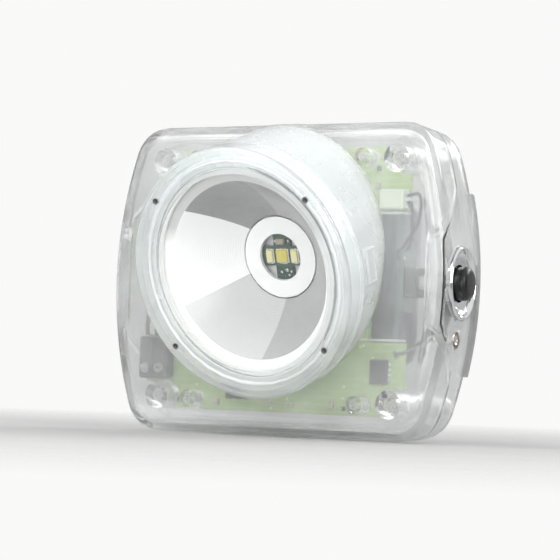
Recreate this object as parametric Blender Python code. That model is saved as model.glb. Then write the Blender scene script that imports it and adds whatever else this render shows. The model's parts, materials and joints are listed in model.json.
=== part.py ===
"""A cordless miner's cap lamp: a clear two-part case with a pitched lens barrel, a reflector and
LED board, a lithium cell, a control board, a side push button and a steel helmet clip.

Metres, +Z up. The lamp shines towards -Y, and the button is on its +X side. The origin lies on
the rear face of the clip's blade, which bears on the helmet's bracket. Depths are measured back
from the case's front face."""

import math

import bmesh
import bpy
from mathutils import Matrix, Vector

# Case: a pillow-shaped box, flat above and below, with bulging sides
CASE_WIDTH = 0.0820
CASE_HEIGHT = 0.0640
CASE_DEPTH = 0.0205
SIDE_BULGE = 0.0065
CORNER_RADIUS = 0.0075
FRONT_ROUND = 0.0035
REAR_ROUND = 0.0038
SIDE_DRAFT = math.radians(10)
END_DRAFT = math.radians(2)
WALL = 0.0022
BAND_HEIGHT = 0.0370
BAND_RISE = 0.0008
BAND_LEAD = 0.0050

# Seam between front housing and rear cover, which sweeps forward round the button
SEAM_DEPTH = 0.0100
SEAM_DIP = 0.0087
LOBE_FLAT = 0.0150
LOBE_FOOT = 0.0420
LOBE_PAST_WALL = 0.0003
LOBE_RIM = 0.0006
GASKET_THICK = 0.0003
GASKET_INSET = 0.0002
SEAM_CLEARANCE = 0.0002

# Lens barrel: radii about its own axis, places measured back from the window's front
BARREL_PITCH = math.radians(17)
WINDOW_REACH = 0.0124
WINDOW_RISE = 0.0005
LENS_SHIFT = 0.0018
NECK_RADIUS = 0.0239
NECK_WALL = 0.0017
NECK_FRONT = 0.0006
NECK_LENGTH = 0.0038
BARREL_STEP = 0.0017
BARREL_FLARE = 0.0008
BARREL_WALL = 0.0026
BARREL_ROOT = 0.0007  # how far the barrel goes in past the round at the case's front edge
BORE_END = 0.0235
SHELF_STEP = 0.0019
SHELF_THICK = 0.0012
BARREL_RADIUS = NECK_RADIUS + BARREL_STEP
LENS_SEAT = NECK_RADIUS - NECK_WALL
SHELF_BORE = LENS_SEAT - SHELF_STEP

# Bezel ring that screws over the barrel's neck
BEZEL_PROUD = 0.0004
BEZEL_LIP = 0.0018
BEZEL_RADIUS = BARREL_RADIUS + BEZEL_PROUD
BEZEL_LIP_RADIUS = LENS_SEAT - BEZEL_LIP
BEZEL_FRONT = 0.0014
BEZEL_SKIRT_GAP = 0.0003
PIN_HOLE_RADIUS = 0.0006
PIN_HOLE_DEPTH = 0.0008
PIN_HOLE_CIRCLE = BEZEL_RADIUS - 0.0024
PIN_HOLE_ANGLE = math.radians(40)

# Light pieces on the barrel's axis
LENS_THICK = 0.0020
LENS_GASKET_THICK = 0.0006
FLANGE_THICK = 0.0010
FLANGE_WIDTH = 0.0038
REFLECTOR_MOUTH = LENS_SEAT - FLANGE_WIDTH
REFLECTOR_EXIT = 0.0088
REFLECTOR_WALL = 0.0010
REFLECTOR_LENGTH = 0.0118
SKIRT_LENGTH = 0.0020
CENTRING_BORE = 0.0049
CENTRING_THICK = 0.0008
LED_BOARD_THICK = 0.0009
LED_BOARD_ARM = 0.0040
MAIN_LED = 0.0026
SIDE_LED = 0.0015
SIDE_LED_STEP = 0.0030
LED_HEIGHT = 0.0005
HEAT_SINK_THICK = 0.0020
LEAD_HOLE_RADIUS = 0.0010
LEAD_HOLE_STEP = 0.0066

# Control board and what is on it
BOARD_DEPTH = 0.0060
BOARD_THICK = 0.0012
BOARD_SIDE_GAP = 0.0093
BOARD_END_GAP = 0.0026
NOTCH_REACH = 0.0085
NOTCH_TOP_GAP = 0.0132
NOTCH_BOTTOM_GAP = 0.0150
TAB_WALL_GAP = 0.0012
TERMINAL_WIDTH = 0.0072
CONNECTOR_WIDTH = 0.0056
CONNECTOR_HEIGHT = 0.0040
CONNECTOR_TALL = 0.0030
CONNECTOR_INSET = 0.0024
CONNECTOR_RISE = 0.0024
TAB_RISE = 0.0056
TAB_HEIGHT = 0.0098
BOARD_TOP = CASE_HEIGHT / 2 - WALL - BOARD_END_GAP
NOTCH_TOP = BOARD_TOP - NOTCH_TOP_GAP
NOTCH_BOTTOM = NOTCH_BOTTOM_GAP - BOARD_TOP
TAB_BOTTOM = TAB_RISE - BOARD_TOP
TAB_TOP = TAB_BOTTOM + TAB_HEIGHT
POST_RADIUS = 0.0019
POST_SPREAD = 0.0205
POST_END_GAP = 0.0070
BOARD_SCREW_RADIUS = 0.0008
BOARD_SCREW_HEAD = 0.0016

# Case screws, each in a boss at one corner
BOSS_RADIUS = 0.0029
BOSS_SIDE_GAP = 0.0125
BOSS_END_GAP = 0.0074
SCREW_RADIUS = 0.0011
SCREW_HEAD_RADIUS = 0.0023
SCREW_HEAD_THICK = 0.0016

# Lithium cell behind the board, between the bosses
CELL_SIDE_ROOM = 0.01325
CELL_BOSS_GAP = 0.0047
CELL_LENGTH = CASE_WIDTH - 2 * CELL_SIDE_ROOM
CELL_HEIGHT = CASE_HEIGHT - 2 * (BOSS_END_GAP + BOSS_RADIUS + CELL_BOSS_GAP)
CELL_THICK = 0.0077
CELL_SHIFT = -0.0005
CELL_CORNER = 0.0034
CELL_PAD_THICK = 0.0005
GUARD_THICK = 0.0009

# Push button through the side wall, on an axis square to that wall
BUTTON_RADIUS = 0.0034
BUTTON_GAP = 0.0004
BUTTON_REACH = 0.0020
BUTTON_TRAVEL = 0.0010
COLLAR_SLEEVE = 0.0012
COLLAR_BRIM = 0.0024
COLLAR_NECK = BUTTON_RADIUS + BUTTON_GAP + COLLAR_SLEEVE
COLLAR_RADIUS = COLLAR_NECK + COLLAR_BRIM
COLLAR_PAST_WALL = 0.0020
COLLAR_LENGTH = WALL + COLLAR_PAST_WALL
NUT_THICK = 0.0011
NUT_FRONT_GAP = 0.0011  # from the nut's edge to the front wall's inner face
COLLAR_FLOOR = 0.0009
COLLAR_RIM = 0.0007
STEM_RADIUS = 0.0015
STEM_LENGTH = 0.0014
BUTTON_FLANGE_THICK = 0.0008
BUTTON_FLANGE_STEP = 0.0011
BUTTON_CROWN = 0.0012
GROOVE_FRONT = 0.0022
GROOVE_BACK = 0.0032
GROOVE_DEPTH = 0.0005
BUTTON_SEAL_THICK = 0.00048
SWITCH_SIDE = 0.0060
SWITCH_THICK = 0.0024
PLUNGER_SUNK = 0.0004
SWITCH_BOARD_THICK = 0.0008
SWITCH_BOARD_HEIGHT = 0.0120

# Charging contact below the button
CONTACT_DROP = 0.0112
CONTACT_RADIUS = 0.0017
CONTACT_NECK = 0.0009
CONTACT_LENGTH = 0.0045
CONTACT_SINK = 0.0011
CONTACT_LEAD_DROP = 0.0030

# Steel clip that hooks into the helmet's lamp bracket
CLIP_WIDTH = 0.0240
CLIP_THICK = 0.0012
CLIP_GAP = 0.0047
CLIP_TAB_TOP = 0.0172
CLIP_TAB_BOTTOM = 0.0055
CLIP_BLADE_TOP = 0.0025
CLIP_BLADE_BOTTOM = -0.0185
CLIP_SCREW_RADIUS = 0.0014
CLIP_SCREW_HEAD = 0.0027
CLIP_SCREW_STEP = 0.0085

# Leads: radii of the insulation
BATTERY_LEAD_RADIUS = 0.00045
FINE_LEAD_RADIUS = 0.00035

THIN_EDGE = 0.0002  # bevel on small moulded pieces
FIT = 0.0003  # room round a piece in its hole or pocket
SEAT = 0.0002  # room between faces that press together
BUTTON_DEPTH = SEAM_DEPTH - SEAM_DIP + LOBE_RIM + FIT + COLLAR_RADIUS
PAST = 0.0010  # how far a helper runs past the face that it cuts or joins
AHEAD = 0.0040  # how far a bore's cutter stands out in front
THROUGH = 0.0060  # how deep a side wall's cutter goes, past the wall
ROUND_STEPS = 60
MIDDLE_STEPS = 36
SMALL_STEPS = 20
BACK_PLANE = CASE_DEPTH + BAND_RISE + CLIP_GAP + CLIP_THICK


# Finishes

def finish(name, colour, roughness, metallic=0.0, clear=0.0):
    """A Principled material in one colour."""
    material = bpy.data.materials.new(name)
    material.use_nodes = True
    shader = material.node_tree.nodes["Principled BSDF"]
    shader.inputs["Base Color"].default_value = (*colour, 1.0)
    shader.inputs["Roughness"].default_value = roughness
    shader.inputs["Metallic"].default_value = metallic
    shader.inputs["Transmission Weight"].default_value = clear
    return material


def clear_plastic(name):
    return finish(name, (0.86, 0.89, 0.87), 0.12, clear=0.85)


def black_rubber(name):
    return finish(name, (0.015, 0.015, 0.016), 0.6)


def steel(name):
    return finish(name, (0.62, 0.62, 0.60), 0.28, metallic=1.0)


def circuit_green(name):
    return finish(name, (0.30, 0.46, 0.20), 0.45)


# Building blocks

def place_empty(name, location, rotation):
    """An axis that pieces hang on."""
    empty = bpy.data.objects.new(name, None)
    empty.location = location
    empty.rotation_euler = rotation
    empty.empty_display_size = 0.01
    bpy.context.scene.collection.objects.link(empty)
    return empty


def add_object(name, bm, material=None, parent=None, smooth=35):
    """Turn a bmesh into a named object with outward faces and smooth round sides."""
    bmesh.ops.remove_doubles(bm, verts=bm.verts, dist=1e-7)
    bmesh.ops.recalc_face_normals(bm, faces=bm.faces)
    mesh = bpy.data.meshes.new(name)
    bm.to_mesh(mesh)
    bm.free()
    mesh.shade_smooth()
    mesh.set_sharp_from_angle(angle=math.radians(smooth))
    piece = bpy.data.objects.new(name, mesh)
    piece.parent = parent
    if material:
        mesh.materials.append(material)
    bpy.context.scene.collection.objects.link(piece)
    return piece


def turned(name, profile, material=None, parent=None, steps=SMALL_STEPS, place=(0, 0, 0)):
    """A profile of (radius, distance back) points turned about local Y."""
    bm = bmesh.new()
    ring = [bm.verts.new((radius, back, 0)) for radius, back in profile]
    on_axis = profile[0][0] == 0 and profile[-1][0] == 0
    pairs = zip(ring, ring[1:] if on_axis else ring[1:] + ring[:1])
    edges = [bm.edges.new(pair) for pair in pairs]
    bmesh.ops.spin(bm, geom=ring + edges, cent=(0, 0, 0), axis=(0, 1, 0), angle=2 * math.pi,
                   steps=steps, use_merge=True)
    bmesh.ops.remove_doubles(bm, verts=bm.verts, dist=1e-7)
    piece = add_object(name, bm, material, parent)
    piece.location = place
    return piece


def rod(name, radius, front, back, material=None, parent=None, steps=SMALL_STEPS, place=(0, 0, 0)):
    """A plain cylinder along local Y."""
    profile = [(0, front), (radius, front), (radius, back), (0, back)]
    return turned(name, profile, material, parent, steps, place)


def plate(name, outline, front, back, material=None, parent=None, place=(0, 0, 0)):
    """An outline of (x, z) points made solid from front to back along local Y."""
    bm = bmesh.new()
    face = bm.faces.new([bm.verts.new((x, front, z)) for x, z in outline])
    grown = bmesh.ops.extrude_face_region(bm, geom=[face])["geom"]
    moved = [item for item in grown if isinstance(item, bmesh.types.BMVert)]
    bmesh.ops.translate(bm, verts=moved, vec=(0, back - front, 0))
    piece = add_object(name, bm, material, parent)
    piece.location = place
    return piece


def block(name, size, centre, material=None, parent=None, edge=0.0):
    """A box of (x, y, z) size about its centre, with bevelled edges where asked."""
    bm = bmesh.new()
    bmesh.ops.create_cube(bm, size=1.0)
    bmesh.ops.scale(bm, vec=size, verts=bm.verts)
    if edge:
        bmesh.ops.bevel(bm, geom=bm.edges[:], offset=edge, segments=1, profile=0.5,
                        affect="EDGES")
    piece = add_object(name, bm, material, parent)
    piece.location = centre
    return piece


def lofted(name, rings, material=None):
    """A closed solid through rings of points, front to back, all with as many points."""
    bm = bmesh.new()
    loops = [[bm.verts.new(point) for point in ring] for ring in rings]
    for near, far in zip(loops, loops[1:]):
        for i in range(len(near)):
            bm.faces.new((near[i - 1], near[i], far[i], far[i - 1]))
    bm.faces.new(loops[0])
    bm.faces.new(list(reversed(loops[-1])))
    return add_object(name, bm, material)


def tube(name, points, radius, material):
    """A wire along a smooth curve through its points."""
    curve = bpy.data.curves.new(name, "CURVE")
    curve.dimensions = "3D"
    curve.bevel_depth = radius
    curve.bevel_resolution = 2
    curve.use_fill_caps = True
    fine = smooth_route([Vector(point) for point in points])
    spline = curve.splines.new("POLY")
    spline.points.add(len(fine) - 1)
    for target, point in zip(spline.points, fine):
        target.co = (*point, 1.0)
    curve.materials.append(material)
    wire = bpy.data.objects.new(name, curve)
    bpy.context.scene.collection.objects.link(wire)
    return wire


def smooth_route(points, between=4):
    """Catmull-Rom points along a route, its ends kept."""
    ends = [points[0] * 2 - points[1], *points, points[-1] * 2 - points[-2]]
    fine = []
    for a, b, c, d in zip(ends, ends[1:], ends[2:], ends[3:]):
        for step in range(between):
            t = step / between
            fine.append(0.5 * (2 * b + (c - a) * t + (2 * a - 5 * b + 4 * c - d) * t ** 2
                               + (3 * b - a - 3 * c + d) * t ** 3))
    return fine + [points[-1]]


def combine(target, other, operation="DIFFERENCE"):
    """Cut, join or keep common volume with a hidden helper."""
    change = target.modifiers.new(f"{operation.lower()} {other.name}", "BOOLEAN")
    change.operation = operation
    change.solver = "EXACT"
    change.object = other
    other.hide_render = True
    other.display_type = "WIRE"


def at(x, depth, z):
    """World place of a point at a depth behind the case's front face."""
    return Vector((x, depth - BACK_PLANE, z))


# Case shape

def half_width(z):
    """Half the case's width at a height, at the widest depth."""
    return CASE_WIDTH / 2 - SIDE_BULGE * (2 * z / CASE_HEIGHT) ** 2


def inner_half_width(z, depth):
    """Half the room inside the case at a height and a depth."""
    return half_width(z) - WALL - max(depth - FRONT_ROUND, 0) * math.tan(SIDE_DRAFT)


def outline(side_inset, end_inset, corner):
    """Points round the case, seen from the front, drawn in from its sides and ends."""
    top = CASE_HEIGHT / 2 - end_inset
    slope = 8 * SIDE_BULGE / CASE_HEIGHT ** 2
    meet = top - corner
    for _ in range(12):
        meet = top - corner + corner * math.sin(math.atan(slope * meet))
    lean = math.atan(slope * meet)
    centre_x = half_width(meet) - side_inset - corner * math.cos(lean)
    side_steps, corner_steps = 9, 5
    quarter = [(half_width(meet * i / side_steps) - side_inset, meet * i / side_steps)
               for i in range(side_steps)]
    for i in range(corner_steps + 1):
        angle = lean + (math.pi / 2 - lean) * i / corner_steps
        quarter.append((centre_x + corner * math.cos(angle),
                        top - corner + corner * math.sin(angle)))
    upper = quarter + [(-x, z) for x, z in reversed(quarter)]
    lower = [(x, -z) for x, z in reversed(upper) if z > 0]
    return upper + lower


def case_rings(wall):
    """Rings of the case from front to back, thinned all round by a wall."""
    front = max(FRONT_ROUND - wall, 0.0006)
    rear = max(REAR_ROUND - wall, 0.0006)
    steps = 4
    levels = []
    for i in range(steps + 1):
        turn = math.pi / 2 * i / steps
        levels.append((wall + front * (1 - math.cos(turn)), wall + front * (1 - math.sin(turn))))
    for i in range(steps + 1):
        turn = math.pi / 2 * i / steps
        levels.append((CASE_DEPTH - wall - rear * (1 - math.sin(turn)),
                       wall + rear * (1 - math.cos(turn))))
    rings = []
    for depth, inset in levels:
        run = max(depth - FRONT_ROUND, 0)
        side = inset + run * math.tan(SIDE_DRAFT)
        end = inset + run * math.tan(END_DRAFT)
        corner = max(CORNER_RADIUS - inset, 0.0012)
        rings.append([at(x, depth, z) for x, z in outline(side, end, corner)])
    return rings


def band_rings():
    """Rings of the raised band across the back of the cover."""
    start = CASE_DEPTH - BAND_LEAD
    levels = [(start, 0.0), (start + BAND_RISE, -BAND_RISE),
              (CASE_DEPTH + BAND_RISE - REAR_ROUND, -BAND_RISE)]
    for i in range(1, 4):
        turn = math.pi / 2 * i / 3
        levels.append((CASE_DEPTH + BAND_RISE - REAR_ROUND * (1 - math.sin(turn)),
                       -BAND_RISE + REAR_ROUND * (1 - math.cos(turn))))
    rings = []
    for depth, inset in levels:
        side = inset + (depth - FRONT_ROUND) * math.tan(SIDE_DRAFT)
        rings.append([at(x, depth, z) for x, z in outline(side, 0.001, CORNER_RADIUS)])
    return rings


def seam_dip(z):
    """How far the seam comes forward at a height on the sides."""
    flat, foot = LOBE_FLAT / 2, LOBE_FOOT / 2
    part = min(max((abs(z) - flat) / (foot - flat), 0), 1)
    return SEAM_DIP * (0.5 + 0.5 * math.cos(math.pi * part))


def behind_seam(name, shift):
    """Everything behind the seam, moved back by a shift: a slab, and a lobe at each side."""
    wide, deep = CASE_WIDTH * 1.5, CASE_DEPTH * 2
    slab = block(name, (wide, deep, CASE_HEIGHT * 2),
                 at(0, SEAM_DEPTH + shift + deep / 2, 0))
    steps = 20
    heights = [LOBE_FOOT * (i / steps - 0.5) for i in range(steps + 1)]
    edge = [(SEAM_DEPTH + shift - seam_dip(z), z) for z in heights]
    overlap = SEAM_DEPTH + shift + 2 * PAST
    profile = edge + [(overlap, heights[-1]), (overlap, heights[0])]
    lowest = CONTACT_DROP + CONTACT_RADIUS
    inner = inner_half_width(lowest, SEAM_DEPTH) - LOBE_PAST_WALL + shift
    for side in (-1, 1):
        bm = bmesh.new()
        face = bm.faces.new([bm.verts.new(at(side * inner, depth, z)) for depth, z in profile])
        grown = bmesh.ops.extrude_face_region(bm, geom=[face])["geom"]
        moved = [item for item in grown if isinstance(item, bmesh.types.BMVert)]
        bmesh.ops.translate(bm, verts=moved, vec=(side * CASE_WIDTH / 4, 0, 0))
        lobe = add_object(f"{name}_lobe_{'right' if side > 0 else 'left'}", bm)
        combine(slab, lobe, "UNION")
    return slab


def corner_places():
    """Centres of the four case bosses, as (x, z)."""
    x = CASE_WIDTH / 2 - BOSS_SIDE_GAP
    z = CASE_HEIGHT / 2 - BOSS_END_GAP
    return [(x, z), (-x, z), (-x, -z), (x, -z)]


def post_places():
    """Centres of the four board posts, as (x, z)."""
    z = CASE_HEIGHT / 2 - POST_END_GAP
    return [(POST_SPREAD, z), (-POST_SPREAD, z), (-POST_SPREAD, -z), (POST_SPREAD, -z)]


CORNER_NAMES = ("upper_right", "upper_left", "lower_left", "lower_right")


# Lens barrel levels, measured back from the window's front

LENS_BACK = LENS_THICK + SEAT
FLANGE_FRONT = LENS_BACK + LENS_GASKET_THICK + SEAT
SHELF_FRONT = FLANGE_FRONT + FLANGE_THICK + SEAT
REFLECTOR_END = FLANGE_FRONT + REFLECTOR_LENGTH
LED_BOARD_FRONT = REFLECTOR_END + CENTRING_THICK + FIT
LED_BOARD_BACK = LED_BOARD_FRONT + LED_BOARD_THICK
SKIRT_END = REFLECTOR_END + SKIRT_LENGTH
HEAT_SINK_FRONT = SKIRT_END + FIT
HEAT_SINK_BACK = HEAT_SINK_FRONT + HEAT_SINK_THICK
SKIRT_RADIUS = REFLECTOR_EXIT + REFLECTOR_WALL
NECK_BACK = NECK_FRONT + NECK_LENGTH


def lens_axis():
    """The barrel's axis: its front end sits ahead of the face, pitched down."""
    return place_empty("lens_axis", at(LENS_SHIFT, -WINDOW_REACH, WINDOW_RISE), (BARREL_PITCH, 0, 0))


def button_place():
    """Where the button's axis meets the outer side wall."""
    drawn_in = (BUTTON_DEPTH - FRONT_ROUND) * math.tan(SIDE_DRAFT)
    return at(CASE_WIDTH / 2 - drawn_in, BUTTON_DEPTH, 0)


def button_axis():
    """The button's axis, square to the drafted side wall, with local +Y pointing inwards."""
    return place_empty("button_axis", button_place(), (0, 0, math.pi / 2 + SIDE_DRAFT))


def contact_axis():
    """The charging contact's axis, below the button's and side by side with it."""
    spot = button_place()
    spot.z = -CONTACT_DROP
    spot.x -= CASE_WIDTH / 2 - half_width(CONTACT_DROP)
    return place_empty("contact_axis", spot, (0, 0, math.pi / 2 + SIDE_DRAFT))


# Case pieces

def barrel_solid(axis):
    """The barrel's outside, trimmed to end in the case's face and level with its top."""
    deep = 0.030
    profile = [(0, NECK_FRONT), (NECK_RADIUS - 0.0003, NECK_FRONT),
               (NECK_RADIUS, NECK_FRONT + 0.0003), (NECK_RADIUS, NECK_BACK),
               (BARREL_RADIUS - 0.0004, NECK_BACK), (BARREL_RADIUS, NECK_BACK + 0.0004),
               (BARREL_RADIUS + BARREL_FLARE, deep), (0, deep)]
    barrel = turned("barrel_outside", profile, parent=axis, steps=ROUND_STEPS)
    front = WINDOW_REACH * 2
    root = FRONT_ROUND + BARREL_ROOT
    keep = block("barrel_keep", (CASE_WIDTH, front + root, CASE_HEIGHT - 0.0002),
                 at(0, (root - front) / 2, 0))
    combine(barrel, keep, "INTERSECT")
    return barrel


def barrel_bore(axis):
    """The space inside the barrel: lens seat, a shelf for the reflector, and a wide bore."""
    wide = BARREL_RADIUS - BARREL_WALL
    shelf_back = SHELF_FRONT + SHELF_THICK
    profile = [(0, -AHEAD), (LENS_SEAT, -AHEAD), (LENS_SEAT, SHELF_FRONT),
               (SHELF_BORE, SHELF_FRONT), (SHELF_BORE, shelf_back),
               (wide, shelf_back + wide - SHELF_BORE), (wide, BORE_END), (0, BORE_END)]
    return turned("barrel_bore", profile, parent=axis, steps=ROUND_STEPS)


def latch_mark(axis):
    """A small raised frame on the barrel's right side, where the mould's slide closed."""
    middle = NECK_BACK + 0.0030
    mark = block("latch_mark", (0.0020, 0.0034, 0.0074),
                 (BARREL_RADIUS - 0.0004, middle, 0), parent=axis, edge=0.0003)
    inner = block("latch_mark_inner", (0.0020, 0.0020, 0.0060),
                  (BARREL_RADIUS + 0.0013, middle, 0), parent=axis)
    combine(mark, inner)
    return mark


def make_front_housing(axis):
    """Clear front shell: a shallow box with the lens barrel on its face."""
    shell = lofted("front_housing", case_rings(0), clear_plastic("clear_front"))
    combine(shell, barrel_solid(axis), "UNION")
    combine(shell, latch_mark(axis), "UNION")
    combine(shell, lofted("case_hollow", case_rings(WALL)))
    combine(shell, barrel_bore(axis))
    face = WALL - 0.0004
    for name, (x, z) in zip(CORNER_NAMES, corner_places()):
        boss = rod(f"front_boss_{name}", BOSS_RADIUS, face, SEAM_DEPTH + PAST, place=at(x, 0, z))
        bore = rod(f"front_boss_bore_{name}", SCREW_RADIUS + FIT, WALL + 0.0012,
                   CASE_DEPTH, place=at(x, 0, z))
        combine(shell, boss, "UNION")
        combine(shell, bore)
    for name, (x, z) in zip(CORNER_NAMES, post_places()):
        post = rod(f"board_post_{name}", POST_RADIUS, face, BOARD_DEPTH - FIT, place=at(x, 0, z))
        bore = rod(f"board_post_bore_{name}", BOARD_SCREW_RADIUS + 0.0002, WALL,
                   BOARD_DEPTH + 0.001, place=at(x, 0, z))
        combine(shell, post, "UNION")
        combine(shell, bore)
    combine(shell, behind_seam("seam_front", 0))


def make_rear_cover(button, contact):
    """Clear rear cover: a raised band takes the clip, and a lobe at each side meets the front."""
    cover = lofted("rear_cover", case_rings(0), clear_plastic("clear_rear"))
    band = lofted("band", band_rings())
    keep = block("band_keep", (CASE_WIDTH * 1.5, CASE_DEPTH * 3, BAND_HEIGHT), at(0, CASE_DEPTH, 0),
                 edge=0.0012)
    combine(band, keep, "INTERSECT")
    combine(cover, band, "UNION")
    combine(cover, lofted("cover_hollow", case_rings(WALL)))
    back = CASE_DEPTH - WALL + 0.0004
    head_floor = CASE_DEPTH - SCREW_HEAD_THICK - FIT
    bore, sink = SCREW_RADIUS + FIT, SCREW_HEAD_RADIUS + FIT
    passage = [(0, 0), (bore, 0), (bore, head_floor), (sink, head_floor),
               (sink, CASE_DEPTH * 2), (0, CASE_DEPTH * 2)]
    for name, (x, z) in zip(CORNER_NAMES, corner_places()):
        boss = rod(f"rear_boss_{name}", BOSS_RADIUS, SEAM_DEPTH - PAST, back, place=at(x, 0, z))
        combine(cover, boss, "UNION")
        combine(cover, turned(f"screw_passage_{name}", passage, place=at(x, 0, z)))
    combine(cover, behind_seam("seam_rear", GASKET_THICK + 2 * SEAM_CLEARANCE), "INTERSECT")
    pocket_floor = COLLAR_FLOOR + FIT
    pocket = [(0, -AHEAD), (COLLAR_RADIUS + FIT, -AHEAD), (COLLAR_RADIUS + FIT, pocket_floor),
              (COLLAR_NECK + FIT, pocket_floor), (COLLAR_NECK + FIT, THROUGH), (0, THROUGH)]
    combine(cover, turned("collar_pocket", pocket, parent=button, steps=MIDDLE_STEPS))
    seat = [(0, -AHEAD), (CONTACT_RADIUS + FIT, -AHEAD), (CONTACT_RADIUS + FIT, CONTACT_SINK),
            (CONTACT_NECK + FIT, CONTACT_SINK), (CONTACT_NECK + FIT, THROUGH), (0, THROUGH)]
    combine(cover, turned("contact_seat", seat, parent=contact))
    for name, (x, z) in clip_screw_places():
        combine(cover, rod(f"clip_screw_hole_{name}", CLIP_SCREW_RADIUS + FIT,
                           CASE_DEPTH - WALL + 0.0007, BACK_PLANE, place=at(x, 0, z)))


def make_housing_gasket():
    """Grey seal between the two shells, drawn in from both skins of the wall."""
    seal = lofted("housing_gasket", case_rings(GASKET_INSET),
                  finish("gasket_grey", (0.20, 0.21, 0.21), 0.55))
    combine(seal, lofted("gasket_hollow", case_rings(WALL - GASKET_INSET)))
    combine(seal, behind_seam("gasket_front", SEAM_CLEARANCE), "INTERSECT")
    combine(seal, behind_seam("gasket_back", SEAM_CLEARANCE + GASKET_THICK))


def make_bezel_ring(axis):
    """Clear ring that screws over the neck and holds the lens, with holes for a pin spanner."""
    under = -SEAT
    outer, inner = BEZEL_RADIUS, NECK_RADIUS + BEZEL_SKIRT_GAP
    back = NECK_BACK - FIT
    profile = [(BEZEL_LIP_RADIUS, under), (inner, under), (inner, back), (outer, back)]
    round_radius = 0.0010
    for i in range(5):
        turn = math.pi / 2 * i / 4
        profile.append((outer - round_radius * (1 - math.cos(turn)),
                        -BEZEL_FRONT + round_radius * (1 - math.sin(turn))))
    profile += [(BEZEL_LIP_RADIUS + 0.0022, -BEZEL_FRONT),
                (BEZEL_LIP_RADIUS + 0.0018, -BEZEL_FRONT + 0.0002),
                (BEZEL_LIP_RADIUS, -0.0006)]
    bezel = turned("bezel_ring", profile, clear_plastic("clear_bezel"), axis, ROUND_STEPS)
    for i, angle in enumerate((PIN_HOLE_ANGLE, math.pi - PIN_HOLE_ANGLE,
                               math.pi + PIN_HOLE_ANGLE, -PIN_HOLE_ANGLE)):
        spot = (PIN_HOLE_CIRCLE * math.cos(angle), 0, PIN_HOLE_CIRCLE * math.sin(angle))
        combine(bezel, rod(f"pin_hole_{i + 1}", PIN_HOLE_RADIUS, -BEZEL_FRONT - 0.001,
                           -BEZEL_FRONT + PIN_HOLE_DEPTH, parent=axis, steps=12, place=spot))


def make_bezel_seal(axis):
    """Soft ring squeezed between the bezel and the end of the neck."""
    section = [(0.00025 * math.cos(turn), 0.00025 * math.sin(turn))
               for turn in (math.pi / 2 * i for i in range(4))]
    middle = (LENS_SEAT + NECK_RADIUS) / 2
    place = (NECK_FRONT - 0.00015) / 2
    profile = [(middle + a, place + b) for a, b in section]
    turned("bezel_seal", profile, finish("seal_white", (0.8, 0.8, 0.78), 0.5), axis, MIDDLE_STEPS)


# Light pieces

def make_front_lens(axis):
    """Flat clear window with a small chamfer."""
    radius = LENS_SEAT - FIT
    profile = [(0, 0), (radius - 0.0003, 0), (radius, 0.0003), (radius, LENS_THICK - 0.0003),
               (radius - 0.0003, LENS_THICK), (0, LENS_THICK)]
    turned("front_lens", profile, clear_plastic("clear_window"), axis, ROUND_STEPS)


def make_lens_gasket(axis):
    """Flat white ring between the window and the reflector's flange."""
    front = LENS_BACK
    outer, inner = LENS_SEAT - FIT, BEZEL_LIP_RADIUS + 0.0002
    back = front + LENS_GASKET_THICK
    profile = [(inner, front), (outer, front), (outer, back), (inner, back)]
    turned("lens_gasket", profile, finish("gasket_white", (0.82, 0.83, 0.82), 0.5), axis,
           MIDDLE_STEPS)


def bowl_depth(radius):
    """How far behind the flange the bowl lies at a radius, along a parabola."""
    span = REFLECTOR_MOUTH ** 2 - REFLECTOR_EXIT ** 2
    return REFLECTOR_LENGTH * (REFLECTOR_MOUTH ** 2 - radius ** 2) / span


def make_reflector(axis):
    """Parabolic bowl with a white flange round its mouth and a short skirt at its exit."""
    steps = 6
    radii = [REFLECTOR_MOUTH + (REFLECTOR_EXIT - REFLECTOR_MOUTH) * i / steps
             for i in range(steps + 1)]
    inside = [(radius, FLANGE_FRONT + bowl_depth(radius)) for radius in radii]
    outside = [(radius + REFLECTOR_WALL, FLANGE_FRONT + bowl_depth(radius)) for radius in radii]
    flange_back = FLANGE_FRONT + FLANGE_THICK
    edge = LENS_SEAT - FIT
    outer_wall = [point for point in outside if point[1] > flange_back + 0.0002]
    profile = ([(edge, FLANGE_FRONT)] + inside + [(REFLECTOR_EXIT, SKIRT_END),
               (SKIRT_RADIUS, SKIRT_END)] + outer_wall[::-1]
               + [(outside[0][0], flange_back), (edge, flange_back)])
    turned("reflector", profile, finish("bright_reflector", (0.82, 0.82, 0.82), 0.12, 1.0), axis,
           MIDDLE_STEPS + 8)


def make_centring_ring(axis):
    """White disc that closes the bowl's exit round the LEDs."""
    outer = REFLECTOR_EXIT - FIT
    profile = [(CENTRING_BORE, REFLECTOR_END), (outer, REFLECTOR_END),
               (outer, REFLECTOR_END + CENTRING_THICK),
               (CENTRING_BORE, REFLECTOR_END + CENTRING_THICK)]
    turned("led_centring_ring", profile, finish("white_disc", (0.9, 0.9, 0.9), 0.4), axis, MIDDLE_STEPS)


def make_led_board(axis):
    """Cross-shaped dark board that carries the LEDs."""
    arm, reach = LED_BOARD_ARM / 2, REFLECTOR_EXIT - 2 * FIT
    cross = [(reach, -arm), (reach, arm), (arm, arm), (arm, reach), (-arm, reach), (-arm, arm),
             (-reach, arm), (-reach, -arm), (-arm, -arm), (-arm, -reach), (arm, -reach),
             (arm, -arm)]
    plate("led_board", cross, LED_BOARD_FRONT, LED_BOARD_BACK,
          finish("dark_green", (0.03, 0.09, 0.06), 0.4), axis)


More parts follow.
